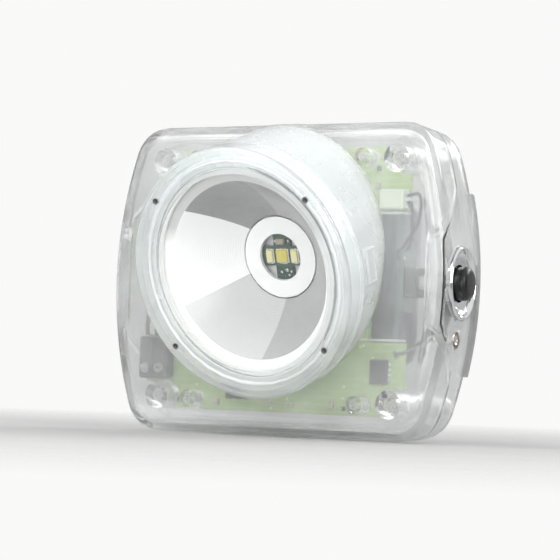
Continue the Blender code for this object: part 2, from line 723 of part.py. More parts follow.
def make_leds(axis):
    """One main LED between two side LEDs, and a small capacitor above them."""
    middle = LED_BOARD_FRONT - FIT / 2 - LED_HEIGHT / 2
    yellow = finish("phosphor_main", (0.85, 0.72, 0.16), 0.4)
    block("main_led", (MAIN_LED, LED_HEIGHT, MAIN_LED), (0, middle, 0), yellow, axis, 0.0001)
    for side, sign in (("left", -1), ("right", 1)):
        pale = finish(f"phosphor_{side}", (0.88, 0.84, 0.52), 0.4)
        block(f"side_led_{side}", (SIDE_LED, LED_HEIGHT, MAIN_LED),
              (sign * SIDE_LED_STEP, middle, 0), pale, axis, 0.0001)
    block("led_capacitor", (0.0020, 0.0006, 0.0012),
          (0, LED_BOARD_FRONT - FIT / 2 - 0.0003, 0.0031),
          finish("capacitor_tan", (0.36, 0.34, 0.30), 0.5), axis, 0.0001)


def make_heat_sink(axis):
    """Aluminium disc behind the LED board, with two holes for the leads."""
    profile = [(0, HEAT_SINK_FRONT), (SKIRT_RADIUS, HEAT_SINK_FRONT),
               (SKIRT_RADIUS, HEAT_SINK_BACK), (0, HEAT_SINK_BACK)]
    sink = turned("heat_sink", profile, finish("aluminium", (0.75, 0.76, 0.77), 0.35, 1.0), axis,
                  MIDDLE_STEPS)
    for sign in (-1, 1):
        combine(sink, rod(f"lead_hole_{'right' if sign > 0 else 'left'}", LEAD_HOLE_RADIUS,
                          0, 0.03, parent=axis, place=(sign * LEAD_HOLE_STEP, 0, 0), steps=12))


# Control board

def tab_edge():
    """Where the board's left tab ends, just inside the case's wall."""
    return inner_half_width(TAB_BOTTOM, BOARD_DEPTH + BOARD_THICK) - TAB_WALL_GAP


def board_outline():
    """Board edge: a notch at the right for the switch, and a tab at the left."""
    x = CASE_WIDTH / 2 - WALL - BOARD_SIDE_GAP
    z = CASE_HEIGHT / 2 - WALL - BOARD_END_GAP
    return [(x, -z), (x, NOTCH_BOTTOM), (x - NOTCH_REACH, NOTCH_BOTTOM),
            (x - NOTCH_REACH, NOTCH_TOP), (x, NOTCH_TOP), (x, z), (-x, z), (-x, TAB_TOP),
            (-tab_edge(), TAB_TOP), (-tab_edge(), TAB_BOTTOM), (-x, TAB_BOTTOM), (-x, -z)]


def make_control_board(axis):
    """Green board round the reflector's end, screwed to the front housing's posts."""
    back = BOARD_DEPTH + BOARD_THICK
    board = plate("control_board", board_outline(), BOARD_DEPTH, back, circuit_green("board_green"),
                  place=at(0, 0, 0))
    combine(board, rod("reflector_hole", SKIRT_RADIUS + 0.0014, 0.006, 0.028, parent=axis,
                       steps=MIDDLE_STEPS))
    for name, (x, z) in zip(CORNER_NAMES, corner_places()):
        combine(board, rod(f"boss_relief_{name}", BOSS_RADIUS + FIT, 0, CASE_DEPTH,
                           place=at(x, 0, z)))
    for name, (x, z) in zip(CORNER_NAMES, post_places()):
        combine(board, rod(f"board_hole_{name}", BOARD_SCREW_RADIUS + 0.0002, 0, CASE_DEPTH,
                           place=at(x, 0, z), steps=16))
        shank_front = WALL + FIT
        head_front = back + 0.0002
        profile = [(0, shank_front), (BOARD_SCREW_RADIUS, shank_front),
                   (BOARD_SCREW_RADIUS, head_front), (BOARD_SCREW_HEAD, head_front),
                   (BOARD_SCREW_HEAD, head_front + 0.0007), (BOARD_SCREW_HEAD - 0.0004,
                   head_front + 0.0011), (0, head_front + 0.0011)]
        turned(f"board_screw_{name}", profile, steel(f"board_screw_steel_{name}"), steps=16,
               place=at(x, 0, z))


def make_board_parts():
    """Chips and terminals on the board's front, and taller parts behind its lower edge."""
    dark = (0.03, 0.03, 0.032)
    front = BOARD_DEPTH - 0.0002
    back = BOARD_DEPTH + BOARD_THICK + 0.0002
    edge_x = board_outline()[0][0]
    low = board_outline()[0][1]
    block("charge_chip", (0.0040, 0.0010, 0.0050), at(edge_x - 0.0052, front - 0.0005, low + 0.0090),
          finish("chip_front", dark, 0.5), edge=0.0002)
    block("driver_chip", (0.0050, 0.0012, 0.0060), at(-0.0100, front - 0.0006, low + 0.0055),
          finish("chip_driver", dark, 0.5), edge=0.0002)
    block("switch_connector", (CONNECTOR_WIDTH, CONNECTOR_TALL, CONNECTOR_HEIGHT),
          at(edge_x - CONNECTOR_INSET, front - CONNECTOR_TALL / 2, NOTCH_TOP + CONNECTOR_RISE),
          finish("connector_cream", (0.70, 0.76, 0.58), 0.45), edge=0.0003)
    tab_middle = (TAB_TOP + TAB_BOTTOM) / 2
    block("terminal_block", (TERMINAL_WIDTH, 0.0030, TAB_TOP - TAB_BOTTOM - 0.0010),
          at(-tab_edge() + TERMINAL_WIDTH / 2, front - 0.0015, tab_middle),
          finish("terminal_grey", (0.13, 0.14, 0.14), 0.5), edge=0.0004)
    block("power_coil", (0.0070, 0.0042, 0.0070), at(-0.0095, back + 0.0021, low + 0.0048),
          finish("ferrite", (0.08, 0.08, 0.085), 0.6), edge=0.0006)
    can = [(0, 0), (0.0028, 0), (0.0031, 0.0003), (0.0031, 0.0062), (0.0028, 0.0065), (0, 0.0065)]
    turned("smoothing_capacitor", can, finish("capacitor_can", (0.72, 0.73, 0.75), 0.3, 1.0),
           steps=SMALL_STEPS, place=at(0.0090, back, low + 0.0045))


# Battery

def make_battery():
    """Grey sleeved prismatic cell with a guard board on one end and a pad behind it."""
    front = CASE_DEPTH - WALL - FIT - CELL_PAD_THICK - FIT - CELL_THICK
    cell = block("battery_cell", (CELL_LENGTH, CELL_THICK, CELL_HEIGHT),
                 at(CELL_SHIFT, front + CELL_THICK / 2, 0),
                 finish("cell_sleeve", (0.22, 0.24, 0.26), 0.42))
    rounding = cell.modifiers.new("round edges", "BEVEL")
    rounding.width = CELL_CORNER
    rounding.segments = 4
    rounding.limit_method = "ANGLE"
    rounding.use_clamp_overlap = True
    pad_middle = front + CELL_THICK + FIT + CELL_PAD_THICK / 2
    block("cell_pad", (CELL_LENGTH - 0.012, CELL_PAD_THICK, CELL_HEIGHT - 0.010),
          at(CELL_SHIFT, pad_middle, 0), finish("foam_white", (0.75, 0.75, 0.72), 0.9))
    end = CELL_SHIFT - CELL_LENGTH / 2 - FIT
    block("guard_board", (GUARD_THICK, CELL_THICK - 0.0012, CELL_HEIGHT - 0.012),
          at(end - GUARD_THICK / 2, front + CELL_THICK / 2, 0), circuit_green("guard_green"))
    return end - GUARD_THICK, front


def make_leads(axis_matrix, guard_face, cell_front):
    """Insulated leads from the cell to the terminal block, and from the board to the LEDs."""
    radius = BATTERY_LEAD_RADIUS
    tab_x = -tab_edge() + TERMINAL_WIDTH / 2
    lead_depth = BOARD_DEPTH - 0.0020
    for name, colour, step, rise in (("battery_lead_plus", (0.10, 0.10, 0.10), -0.0022, 0.0015),
                                     ("battery_lead_minus", (0.02, 0.02, 0.02), 0.0002, -0.0020)):
        x = tab_x + step
        start = TAB_TOP - 0.0002
        route = [at(x, lead_depth, start), at(x, lead_depth - 0.0002, start + 0.0028),
                 at(x - 0.0008, lead_depth + 0.0026, start + 0.0060 + rise),
                 at(guard_face - 0.0026, cell_front + 0.0020, start + 0.0085 + rise),
                 at(guard_face - FIT - radius, cell_front + 0.0036, start + 0.0090 + rise)]
        tube(name, route, radius, finish(f"{name}_sleeve", colour, 0.45))
    board_back = BOARD_DEPTH + BOARD_THICK
    between = (board_back + cell_front) / 2
    for name, colour, sign in (("led_lead_plus", (0.10, 0.10, 0.10), 1),
                               ("led_lead_minus", (0.02, 0.02, 0.02), -1)):
        start = axis_matrix @ Vector((sign * LEAD_HOLE_STEP, LED_BOARD_BACK + FIT, 0))
        through = axis_matrix @ Vector((sign * LEAD_HOLE_STEP, HEAT_SINK_BACK - 0.0002, 0))
        out = axis_matrix @ Vector((sign * (LEAD_HOLE_STEP + 0.0012), HEAT_SINK_BACK + 0.0010, 0))
        z = out.z
        route = [start, through, out,
                 at(LENS_SHIFT + sign * (LEAD_HOLE_STEP + 0.0045), between, z),
                 at(LENS_SHIFT + sign * (LEAD_HOLE_STEP + 0.0080),
                    board_back + FIT + FINE_LEAD_RADIUS, z)]
        tube(name, route, FINE_LEAD_RADIUS, finish(f"{name}_sleeve", colour, 0.45))


def make_switch_leads(axis_matrix):
    """Two dark leads from the connector down to the switch's board."""
    _, _, _, _, body_back = switch_levels()
    right = board_outline()[0][0] - CONNECTOR_INSET + CONNECTOR_WIDTH / 2
    low = NOTCH_TOP + CONNECTOR_RISE
    top = SWITCH_BOARD_HEIGHT / 2
    middle = body_back + FIT + SWITCH_BOARD_THICK / 2
    face = body_back + FIT + SWITCH_BOARD_THICK + FIT + FINE_LEAD_RADIUS
    over_top = top + FIT + 3 * FINE_LEAD_RADIUS
    depth = BOARD_DEPTH - CONNECTOR_TALL / 2
    for name, rise, step, reach in (("switch_lead_upper", 0.0008, -0.0018, 0.0030),
                                    ("switch_lead_lower", -0.0008, 0.0005, 0.0011)):
        out = at(right + reach, depth, low + rise)
        over = axis_matrix @ Vector((step, middle, over_top))
        route = [at(right + FIT, depth, low + rise), out, (out + over) / 2 + Vector((reach / 2, 0, 0)),
                 over, axis_matrix @ Vector((step, face + 0.0002, top)),
                 axis_matrix @ Vector((step, face, top - 0.0016))]
        tube(name, route, FINE_LEAD_RADIUS, black_rubber(f"{name}_sleeve"))


def make_contact_lead(axis_matrix):
    """Short lead from the charging contact to a pad on the board's front."""
    start = axis_matrix @ Vector((0, CONTACT_LENGTH + FIT, 0))
    inward = axis_matrix @ Vector((0, CONTACT_LENGTH + FIT + PAST, 0))
    edge_x = board_outline()[0][0]
    front = BOARD_DEPTH - FIT - FINE_LEAD_RADIUS
    height = -CONTACT_DROP - CONTACT_LEAD_DROP
    over_edge = at(edge_x + 0.0004, front, height)
    route = [start, inward, (inward + over_edge) / 2, over_edge,
             at(edge_x - 0.0020, front, height)]
    tube("contact_lead", route, FINE_LEAD_RADIUS,
         finish("contact_lead_sleeve", (0.10, 0.10, 0.10), 0.45))


def switch_levels():
    """Places inward along the button's axis: flange, stem end, switch faces and its board."""
    flange = COLLAR_LENGTH + FIT
    stem_end = flange + BUTTON_FLANGE_THICK + STEM_LENGTH
    plunger_front = stem_end + FIT
    body_front = plunger_front + BUTTON_TRAVEL + FIT
    body_back = body_front + SWITCH_THICK
    return flange, stem_end, plunger_front, body_front, body_back


# Push button and its switch

def make_button(axis):
    """Black cap that slides in the collar, with a groove for its seal and a stem behind."""
    flange, stem_end, _, _, _ = switch_levels()
    top = -BUTTON_REACH
    groove = BUTTON_RADIUS - GROOVE_DEPTH
    edge = BUTTON_RADIUS + BUTTON_FLANGE_STEP
    flange_back = flange + BUTTON_FLANGE_THICK
    profile = [(0, top)]
    for i in range(5):
        turn = math.pi / 2 * i / 4
        profile.append((BUTTON_RADIUS - BUTTON_CROWN * (1 - math.sin(turn)),
                        top + 0.0001 + BUTTON_CROWN * (1 - math.cos(turn))))
    profile += [(BUTTON_RADIUS, GROOVE_FRONT), (groove, GROOVE_FRONT), (groove, GROOVE_BACK),
                (BUTTON_RADIUS, GROOVE_BACK), (BUTTON_RADIUS, flange), (edge, flange),
                (edge, flange_back), (STEM_RADIUS, flange_back), (STEM_RADIUS, stem_end),
                (0, stem_end)]
    turned("push_button", profile, black_rubber("button_black"), axis, 24)
    half = BUTTON_SEAL_THICK / 2
    centre = groove + FIT / 2 + half
    middle = (GROOVE_FRONT + GROOVE_BACK) / 2
    ring = [(centre + half * math.cos(turn), middle + half * math.sin(turn))
            for turn in (math.pi / 3 * i for i in range(6))]
    turned("button_seal", ring, black_rubber("seal_black"), axis)


def make_collar(axis):
    """Bright dished collar pressed into the side wall, held by a nut inside."""
    bore = BUTTON_RADIUS + BUTTON_GAP
    floor, rim = COLLAR_FLOOR, COLLAR_RADIUS - COLLAR_RIM
    profile = [(bore, floor - 0.0002), (bore, COLLAR_LENGTH), (COLLAR_NECK, COLLAR_LENGTH),
               (COLLAR_NECK, floor), (COLLAR_RADIUS, floor), (COLLAR_RADIUS, -0.0001),
               (COLLAR_RADIUS - 0.0002, -0.0004), (rim + 0.0001, -0.0004), (rim - 0.0001, -0.0001),
               (rim - 0.0003, floor - 0.0004), (rim - 0.0006, floor - 0.0004),
               (rim - 0.0006, floor - 0.0001), (rim - 0.0014, floor - 0.0001),
               (rim - 0.0014, floor - 0.0005), (bore + 0.0006, floor - 0.0004)]
    turned("button_collar", profile, finish("bright_collar", (0.80, 0.81, 0.82), 0.12, 1.0), axis,
           MIDDLE_STEPS)
    inner = COLLAR_NECK + FIT
    outer = BUTTON_DEPTH - WALL - NUT_FRONT_GAP
    back = COLLAR_LENGTH - 0.0001
    nut = [(inner, back - NUT_THICK), (outer, back - NUT_THICK), (outer, back), (inner, back)]
    turned("collar_nut", nut, steel("nut_steel"), axis, 6 * 4)


def make_switch(axis):
    """Tact switch on a small upright board, with a plunger that the button's stem presses."""
    _, _, plunger_front, body_front, body_back = switch_levels()
    body = block("switch_body", (SWITCH_SIDE, SWITCH_THICK, SWITCH_SIDE),
                 (0, (body_front + body_back) / 2, 0),
                 finish("switch_black", (0.03, 0.03, 0.03), 0.5), axis, THIN_EDGE)
    well_floor = body_front + PLUNGER_SUNK + BUTTON_TRAVEL + FIT
    well = rod("plunger_well", STEM_RADIUS + FIT, body_front - PAST, well_floor, parent=axis)
    combine(body, well)
    rod("switch_plunger", STEM_RADIUS, plunger_front, body_front + PLUNGER_SUNK,
        finish("plunger_grey", (0.5, 0.5, 0.5), 0.5), axis)
    board_middle = body_back + FIT + SWITCH_BOARD_THICK / 2
    block("switch_board", (SWITCH_SIDE, SWITCH_BOARD_THICK, SWITCH_BOARD_HEIGHT),
          (0, board_middle, 0), finish("switch_dark", (0.05, 0.06, 0.06), 0.5), axis)


def make_contact(axis):
    """Brass charging pin with a dished head, sunk in the side wall."""
    head_back = CONTACT_SINK - FIT
    profile = [(0, 0.0006), (0.0007, 0.0005), (0.0010, 0.0002), (CONTACT_RADIUS, 0.0002),
               (CONTACT_RADIUS, head_back), (CONTACT_NECK, head_back),
               (CONTACT_NECK, CONTACT_LENGTH), (0, CONTACT_LENGTH)]
    turned("charge_contact", profile, finish("contact_brass", (0.55, 0.42, 0.24), 0.3, 1.0), axis)


# Fasteners and clip

def make_cover_screws():
    """Four long screws that draw the cover onto the front housing."""
    head_back = CASE_DEPTH - FIT
    head_front = head_back - SCREW_HEAD_THICK + FIT
    for name, (x, z) in zip(CORNER_NAMES, corner_places()):
        profile = [(0, WALL + 0.0022), (SCREW_RADIUS, WALL + 0.0022), (SCREW_RADIUS, head_front),
                   (SCREW_HEAD_RADIUS, head_front), (SCREW_HEAD_RADIUS, head_back - 0.0004),
                   (SCREW_HEAD_RADIUS - 0.0004, head_back), (0, head_back)]
        screw = turned(f"cover_screw_{name}", profile, steel(f"cover_screw_steel_{name}"),
                       steps=16, place=at(x, 0, z))
        drive(screw, f"cover_drive_{name}", head_back, 0.0010, (x, z))


def drive(screw, name, head_back, radius, place):
    """Six-sided driver recess in a screw's head."""
    x, z = place
    combine(screw, rod(name, radius, head_back - 0.0008, head_back + 0.001, steps=6,
                       place=at(x, 0, z)))


def clip_screw_places():
    """Names and (x, z) centres of the clip's three screws."""
    high = CLIP_TAB_TOP - 0.0040
    low = CLIP_TAB_BOTTOM + 0.0036
    return (("left", (-CLIP_SCREW_STEP, high)), ("right", (CLIP_SCREW_STEP, high)),
            ("middle", (0, low)))


def clip_section():
    """Side view of the clip, as (depth, z): tab, step back, and a blade with a thinned foot."""
    near = CASE_DEPTH + BAND_RISE + FIT
    far = BACK_PLANE - CLIP_THICK
    thick = CLIP_THICK
    foot = CLIP_BLADE_BOTTOM
    front = [(near, CLIP_TAB_TOP), (near, CLIP_TAB_BOTTOM), (far, CLIP_BLADE_TOP),
             (far, foot + 0.0016), (far + thick / 2, foot)]
    back = [(far + thick, foot), (far + thick, CLIP_BLADE_TOP + 0.0005),
            (near + thick, CLIP_TAB_BOTTOM + 0.0005),
            (near + thick, CLIP_TAB_TOP)]
    return front + back


def make_clip():
    """Bent steel clip: its tab is screwed to the band and its blade hangs behind the case."""
    bm = bmesh.new()
    points = [bm.verts.new(at(-CLIP_WIDTH / 2, depth, z)) for depth, z in clip_section()]
    face = bm.faces.new(points)
    grown = bmesh.ops.extrude_face_region(bm, geom=[face])["geom"]
    moved = [item for item in grown if isinstance(item, bmesh.types.BMVert)]
    bmesh.ops.translate(bm, verts=moved, vec=(CLIP_WIDTH, 0, 0))
    clip = add_object("helmet_clip", bm, steel("clip_steel"))
    head_front = CASE_DEPTH + BAND_RISE + FIT + CLIP_THICK + 0.0002
    for name, (x, z) in clip_screw_places():
        combine(clip, rod(f"clip_hole_{name}", CLIP_SCREW_RADIUS + FIT, CASE_DEPTH,
                          BACK_PLANE * 1.2, place=at(x, 0, z)))
        shank_front = CASE_DEPTH - WALL + 0.0010
        head = CLIP_SCREW_HEAD
        profile = [(0, shank_front), (CLIP_SCREW_RADIUS, shank_front),
                   (CLIP_SCREW_RADIUS, head_front), (head, head_front), (head, head_front + 0.0008),
                   (head - 0.0006, head_front + 0.0014), (0, head_front + 0.0014)]
        screw = turned(f"clip_screw_{name}", profile, steel(f"clip_screw_steel_{name}"), steps=16,
                       place=at(x, 0, z))
        drive(screw, f"clip_drive_{name}", head_front + 0.0014, 0.0011, (x, z))


def main():
    for item in list(bpy.data.objects):
        bpy.data.objects.remove(item, do_unlink=True)
    lens = lens_axis()
    button = button_axis()
    contact = contact_axis()
    make_front_housing(lens)
    make_rear_cover(button, contact)
    make_housing_gasket()
    make_bezel_ring(lens)
    make_bezel_seal(lens)
    make_front_lens(lens)
    make_lens_gasket(lens)
    make_reflector(lens)
    make_centring_ring(lens)
    make_led_board(lens)
    make_leds(lens)
    make_heat_sink(lens)
    make_control_board(lens)
    make_board_parts()
    guard_face, cell_front = make_battery()
    lens_matrix = (Matrix.Translation(lens.location)
                   @ Matrix.Rotation(BARREL_PITCH, 4, "X"))
    make_leads(lens_matrix, guard_face, cell_front)
    button_matrix = Matrix.Translation(button.location) @ Matrix.Rotation(
        math.pi / 2 + SIDE_DRAFT, 4, "Z")
    contact_matrix = Matrix.Translation(contact.location) @ Matrix.Rotation(
        math.pi / 2 + SIDE_DRAFT, 4, "Z")
    make_switch_leads(button_matrix)
    make_contact_lead(contact_matrix)
    make_button(button)
    make_collar(button)
    make_switch(button)
    make_contact(contact)
    make_cover_screws()
    make_clip()


main()
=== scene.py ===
# %% [markdown]
# # A miner's cap lamp, seen in a studio
# The lamp is a clear plastic case with a round lens barrel on its face. Through the plastic show a
# green control board, a grey lithium cell and a reflector with three small LEDs. The solid pieces
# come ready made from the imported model. This lesson gives each one its finish, adds the small parts
# that a bench would show, and lights the result.

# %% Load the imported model
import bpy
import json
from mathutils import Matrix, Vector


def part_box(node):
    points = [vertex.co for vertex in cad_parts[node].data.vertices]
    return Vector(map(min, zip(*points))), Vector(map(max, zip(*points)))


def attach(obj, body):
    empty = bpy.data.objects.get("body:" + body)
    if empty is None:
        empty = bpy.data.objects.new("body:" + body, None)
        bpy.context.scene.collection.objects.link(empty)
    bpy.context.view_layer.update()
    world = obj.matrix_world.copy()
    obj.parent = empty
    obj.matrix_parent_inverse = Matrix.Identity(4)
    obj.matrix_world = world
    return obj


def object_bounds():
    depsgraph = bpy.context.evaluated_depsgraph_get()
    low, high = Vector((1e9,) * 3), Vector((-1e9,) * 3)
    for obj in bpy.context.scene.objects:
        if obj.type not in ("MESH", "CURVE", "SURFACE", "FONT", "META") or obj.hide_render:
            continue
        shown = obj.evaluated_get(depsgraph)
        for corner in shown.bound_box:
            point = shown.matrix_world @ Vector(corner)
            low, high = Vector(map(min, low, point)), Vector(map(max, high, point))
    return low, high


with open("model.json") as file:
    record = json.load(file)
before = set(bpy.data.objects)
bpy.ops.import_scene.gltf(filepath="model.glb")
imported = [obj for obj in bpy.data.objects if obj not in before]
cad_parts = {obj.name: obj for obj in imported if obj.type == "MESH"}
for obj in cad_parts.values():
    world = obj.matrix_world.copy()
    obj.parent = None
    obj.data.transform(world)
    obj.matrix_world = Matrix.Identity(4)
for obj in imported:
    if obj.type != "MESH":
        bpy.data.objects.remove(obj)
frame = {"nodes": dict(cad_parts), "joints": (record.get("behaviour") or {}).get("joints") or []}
model_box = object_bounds()
print("pieces in the model:", len(frame["nodes"]))

# %% Other modules
import json
import math

import bmesh
import bpy
from mathutils import Matrix, Vector

# %% [markdown]
# ## Where things are
# The barrel is pitched down, so the light pieces have a frame of their own: its origin is the
# middle of the window's front, and its Y runs back along the barrel. The push button slides square
# to the side wall, and the contact below it faces the same way, so that direction is kept too.
# A turned piece's points lie evenly round its axis, so their mean lies on that axis.

# %% The barrel's frame and the button's direction
BARREL_PITCH = math.radians(17)


def middle_of(node):
    """Mean of a turned node's separate points, which lies on its axis."""
    points = {tuple(round(value, 6) for value in vertex.co)
              for vertex in frame["nodes"][node].data.vertices}
    return sum((Vector(point) for point in points), Vector()) / len(points)


def reach_along(node, matrix):
    """A node's front, back and radius, measured in a frame whose Y is its axis."""
    inverse = matrix.inverted()
    points = [inverse @ vertex.co for vertex in frame["nodes"][node].data.vertices]
    depths = [point.y for point in points]
    return min(depths), max(depths), max(math.hypot(point.x, point.z) for point in points)


barrel = Matrix.Translation(middle_of("front_lens")) @ Matrix.Rotation(BARREL_PITCH, 4, "X")
window_front = reach_along("front_lens", barrel)[0]
barrel = barrel @ Matrix.Translation((0, window_front, 0))

inward = Vector(frame["joints"][0]["axis"])
button_turn = Vector((0, 1, 0)).rotation_difference(inward).to_matrix().to_4x4()
print("window front at", [round(value * 1000, 2) for value in barrel.translation], "mm")

# %% [markdown]
# ## Smooth round sides
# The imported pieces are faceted, and their corners are split, so light would show every facet. Three
# modifiers mend that and leave the meshes themselves alone: Weld joins the split corners, a small
# node tree shades the faces smooth but keeps edges over 32 degrees sharp, and Weighted Normal stops
# a narrow rounding from tilting the light on the flat next to it.

# %% Smooth shading that keeps real edges
SHARP_ANGLE = math.radians(32)
WELD_DISTANCE = 2e-6


def smooth_by_angle():
    tree = bpy.data.node_groups.new("smooth but for edges", "GeometryNodeTree")
    tree.interface.new_socket("Geometry", in_out="INPUT", socket_type="NodeSocketGeometry")
    tree.interface.new_socket("Geometry", in_out="OUTPUT", socket_type="NodeSocketGeometry")
    start, end = tree.nodes.new("NodeGroupInput"), tree.nodes.new("NodeGroupOutput")
    faces, edges = (tree.nodes.new("GeometryNodeSetShadeSmooth") for _ in range(2))
    angle = tree.nodes.new("GeometryNodeInputMeshEdgeAngle")
    sharp = tree.nodes.new("FunctionNodeCompare")
    sharp.inputs[1].default_value = SHARP_ANGLE
    edges.domain = "EDGE"
    edges.inputs["Shade Smooth"].default_value = False
    tree.links.new(start.outputs[0], faces.inputs["Geometry"])
    tree.links.new(angle.outputs["Unsigned Angle"], sharp.inputs[0])
    tree.links.new(sharp.outputs[0], edges.inputs["Selection"])
    tree.links.new(faces.outputs[0], edges.inputs["Geometry"])
    tree.links.new(edges.outputs[0], end.inputs[0])
    return tree


smoothing = smooth_by_angle()


def shade(piece):
    weld = piece.modifiers.new("join split corners", "WELD")
    weld.merge_threshold = WELD_DISTANCE
    piece.modifiers.new("smooth", "NODES").node_group = smoothing
    weight = piece.modifiers.new("flats stay flat", "WEIGHTED_NORMAL")
    weight.keep_sharp = True


for node in frame["nodes"].values():
    shade(node)
print("smoothed", len(frame["nodes"]), "nodes")

# %% [markdown]
# ## A small kit for finishes
# Every finish here starts from the Principled shader and lets noise move its values a little,
# because no moulded, plated or painted surface is perfectly even. The helpers take sizes in metres
# on the object, so that a grain of 0.2 mm is 0.2 mm wherever it is used.

# %% Helpers for shader nodes
def start_finish(name, roughness=0.4, metallic=0.0, **constants):
    """A new material with its tree and its Principled shader."""
    material = bpy.data.materials.new(name)
    material.use_nodes = True
    tree = material.node_tree
    shader = tree.nodes["Principled BSDF"]
    shader.inputs["Roughness"].default_value = roughness
    shader.inputs["Metallic"].default_value = metallic
    for socket, value in constants.items():
        shader.inputs[socket.replace("_", " ")].default_value = value
    return material, tree, shader


def place(tree, matrix=None, stretch=(1, 1, 1)):
    """Where a point is on the object, in metres, or in a frame of its own."""
    spot = tree.nodes.new("ShaderNodeTexCoord").outputs["Object"]
    for location, rotation, scale in placings(matrix, stretch):
        moved = tree.nodes.new("ShaderNodeMapping")
        moved.inputs["Location"].default_value = location
        moved.inputs["Rotation"].default_value = rotation
        moved.inputs["Scale"].default_value = scale
        tree.links.new(spot, moved.inputs["Vector"])
        spot = moved.outputs["Vector"]
    return spot


def placings(matrix, stretch):
    """The mapping steps that bring a world point into a frame, and then stretch it."""
    steps = []
    if matrix:
        inverse = matrix.inverted()
        steps.append((inverse.translation, inverse.to_euler(), (1, 1, 1)))
    if tuple(stretch) != (1, 1, 1):
        steps.append(((0, 0, 0), (0, 0, 0), stretch))
    return steps


def grain(tree, spot, size, detail=2.0):
    """Noise whose lumps are about this size, from 0 to 1."""
    noise = tree.nodes.new("ShaderNodeTexNoise")
    noise.inputs["Scale"].default_value = 1 / size
    noise.inputs["Detail"].default_value = detail
    tree.links.new(spot, noise.inputs["Vector"])
    return noise.outputs["Fac"]


def sum_up(tree, operation, *values):
    """One Math node on sockets or numbers."""
    node = tree.nodes.new("ShaderNodeMath")
    node.operation = operation
    for socket, value in zip(node.inputs, values):
        if isinstance(value, (int, float)):
            socket.default_value = value
        else:
            tree.links.new(value, socket)
    return node.outputs[0]


def spread(tree, amount, low, high, start=0.35, end=0.65):
    """Stretch a value's middle over a range, and hold its ends."""
    node = tree.nodes.new("ShaderNodeMapRange")
    for name, value in (("From Min", start), ("From Max", end), ("To Min", low), ("To Max", high)):
        node.inputs[name].default_value = value
    tree.links.new(amount, node.inputs["Value"])
    return node.outputs["Result"]


def mix_colours(tree, amount, first, second):
    """Two colours, or colour sockets, mixed by an amount."""
    node = tree.nodes.new("ShaderNodeMix")
    node.data_type = "RGBA"
    tree.links.new(amount, node.inputs["Factor"])
    for socket, value in ((node.inputs[6], first), (node.inputs[7], second)):
        if isinstance(value, tuple):
            socket.default_value = (*value, 1.0)
        else:
            tree.links.new(value, socket)
    return node.outputs[2]


def distance_off_axis(tree, split):
    """How far a point, split into X, Y and Z, is from its frame's Y axis."""
    squares = [sum_up(tree, "MULTIPLY", split.outputs[axis], split.outputs[axis]) for axis in "XZ"]
    return sum_up(tree, "SQRT", sum_up(tree, "ADD", *squares))


def relief(tree, shader, height, depth):
    """Bump of this depth in metres where height runs from 0 to 1."""
    bump = tree.nodes.new("ShaderNodeBump")
    bump.inputs["Distance"].default_value = depth
    tree.links.new(height, bump.inputs["Height"])
    tree.links.new(bump.outputs["Normal"], shader.inputs["Normal"])


# %% [markdown]
# ## Clear polycarbonate
# The case, its cover and the bezel are moulded in clear polycarbonate that has gone a little milky.
# Glass alone would look too clean, so part of the surface stays white plastic: the Transmission
# weight wanders between two values, which gives the haze its soft clouds. The barrel is thicker and
# its moulding is frosted, so ahead of the case's face the haze grows, most of all on its top. The
# frost's grey-blue colour is painted shade on the barrel. Lamps have to reach the pieces inside, so
# shadow rays pass the plastic by a Transparent shader, a common way to light what stands behind
# glass. Rubbed patches come from a second noise in the roughness. Round each of the bezel's four holes
# for a pin spanner, a mask paints shade, dark and opaque.

# %% The clear plastic
CASE_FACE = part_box("battery_cell")[0].y - 0.0095
FROST_START = 0.0012
FROST_BOTTOM, FROST_TOP = -0.012, 0.016
# The frost's grey-blue colour is painted shade on the barrel.
FROST_SHADE_COLOUR = (0.74, 0.77, 0.78)
FROST_ROUGHNESS = 0.15
PIN_HOLE_CIRCLE = 0.0236
PIN_HOLE_ANGLE = math.radians(40)
# Painted shade in the bezel's pin holes: its reach, depth and colour.
HOLE_SHADE_INNER, HOLE_SHADE_OUTER = 0.00055, 0.0008
HOLE_SHADE_FRONT, HOLE_SHADE_BACK = -0.0006, -0.0004
HOLE_SHADE_COLOUR = (0.06, 0.06, 0.06)
HAZE_CLOUD, RUBBED_PATCH, SURFACE_WAVE = 0.014, 0.006, 0.0024
SHADOW_TINT = (0.95, 0.955, 0.95)


def let_lamps_through(material, tint):
    """Send shadow rays straight through, tinted."""
    tree = material.node_tree
    out = tree.nodes["Material Output"]
    clear = tree.nodes.new("ShaderNodeBsdfTransparent")
    clear.inputs["Color"].default_value = (*tint, 1.0)
    rays = tree.nodes.new("ShaderNodeLightPath")
    either = tree.nodes.new("ShaderNodeMixShader")
    tree.links.new(rays.outputs["Is Shadow Ray"], either.inputs["Fac"])
    tree.links.new(tree.nodes["Principled BSDF"].outputs[0], either.inputs[1])
    tree.links.new(clear.outputs[0], either.inputs[2])
    tree.links.new(either.outputs[0], out.inputs["Surface"])


def frost_and_shade_amount(tree):
    """From 0 on the case to 1 on the barrel's top."""
    split = tree.nodes.new("ShaderNodeSeparateXYZ")
    tree.links.new(place(tree), split.inputs[0])
    ahead = spread(tree, split.outputs["Y"], 1, 0, CASE_FACE - FROST_START, CASE_FACE)
    height = spread(tree, split.outputs["Z"], 0.5, 1, FROST_BOTTOM, FROST_TOP)
    return sum_up(tree, "MULTIPLY", ahead, height)


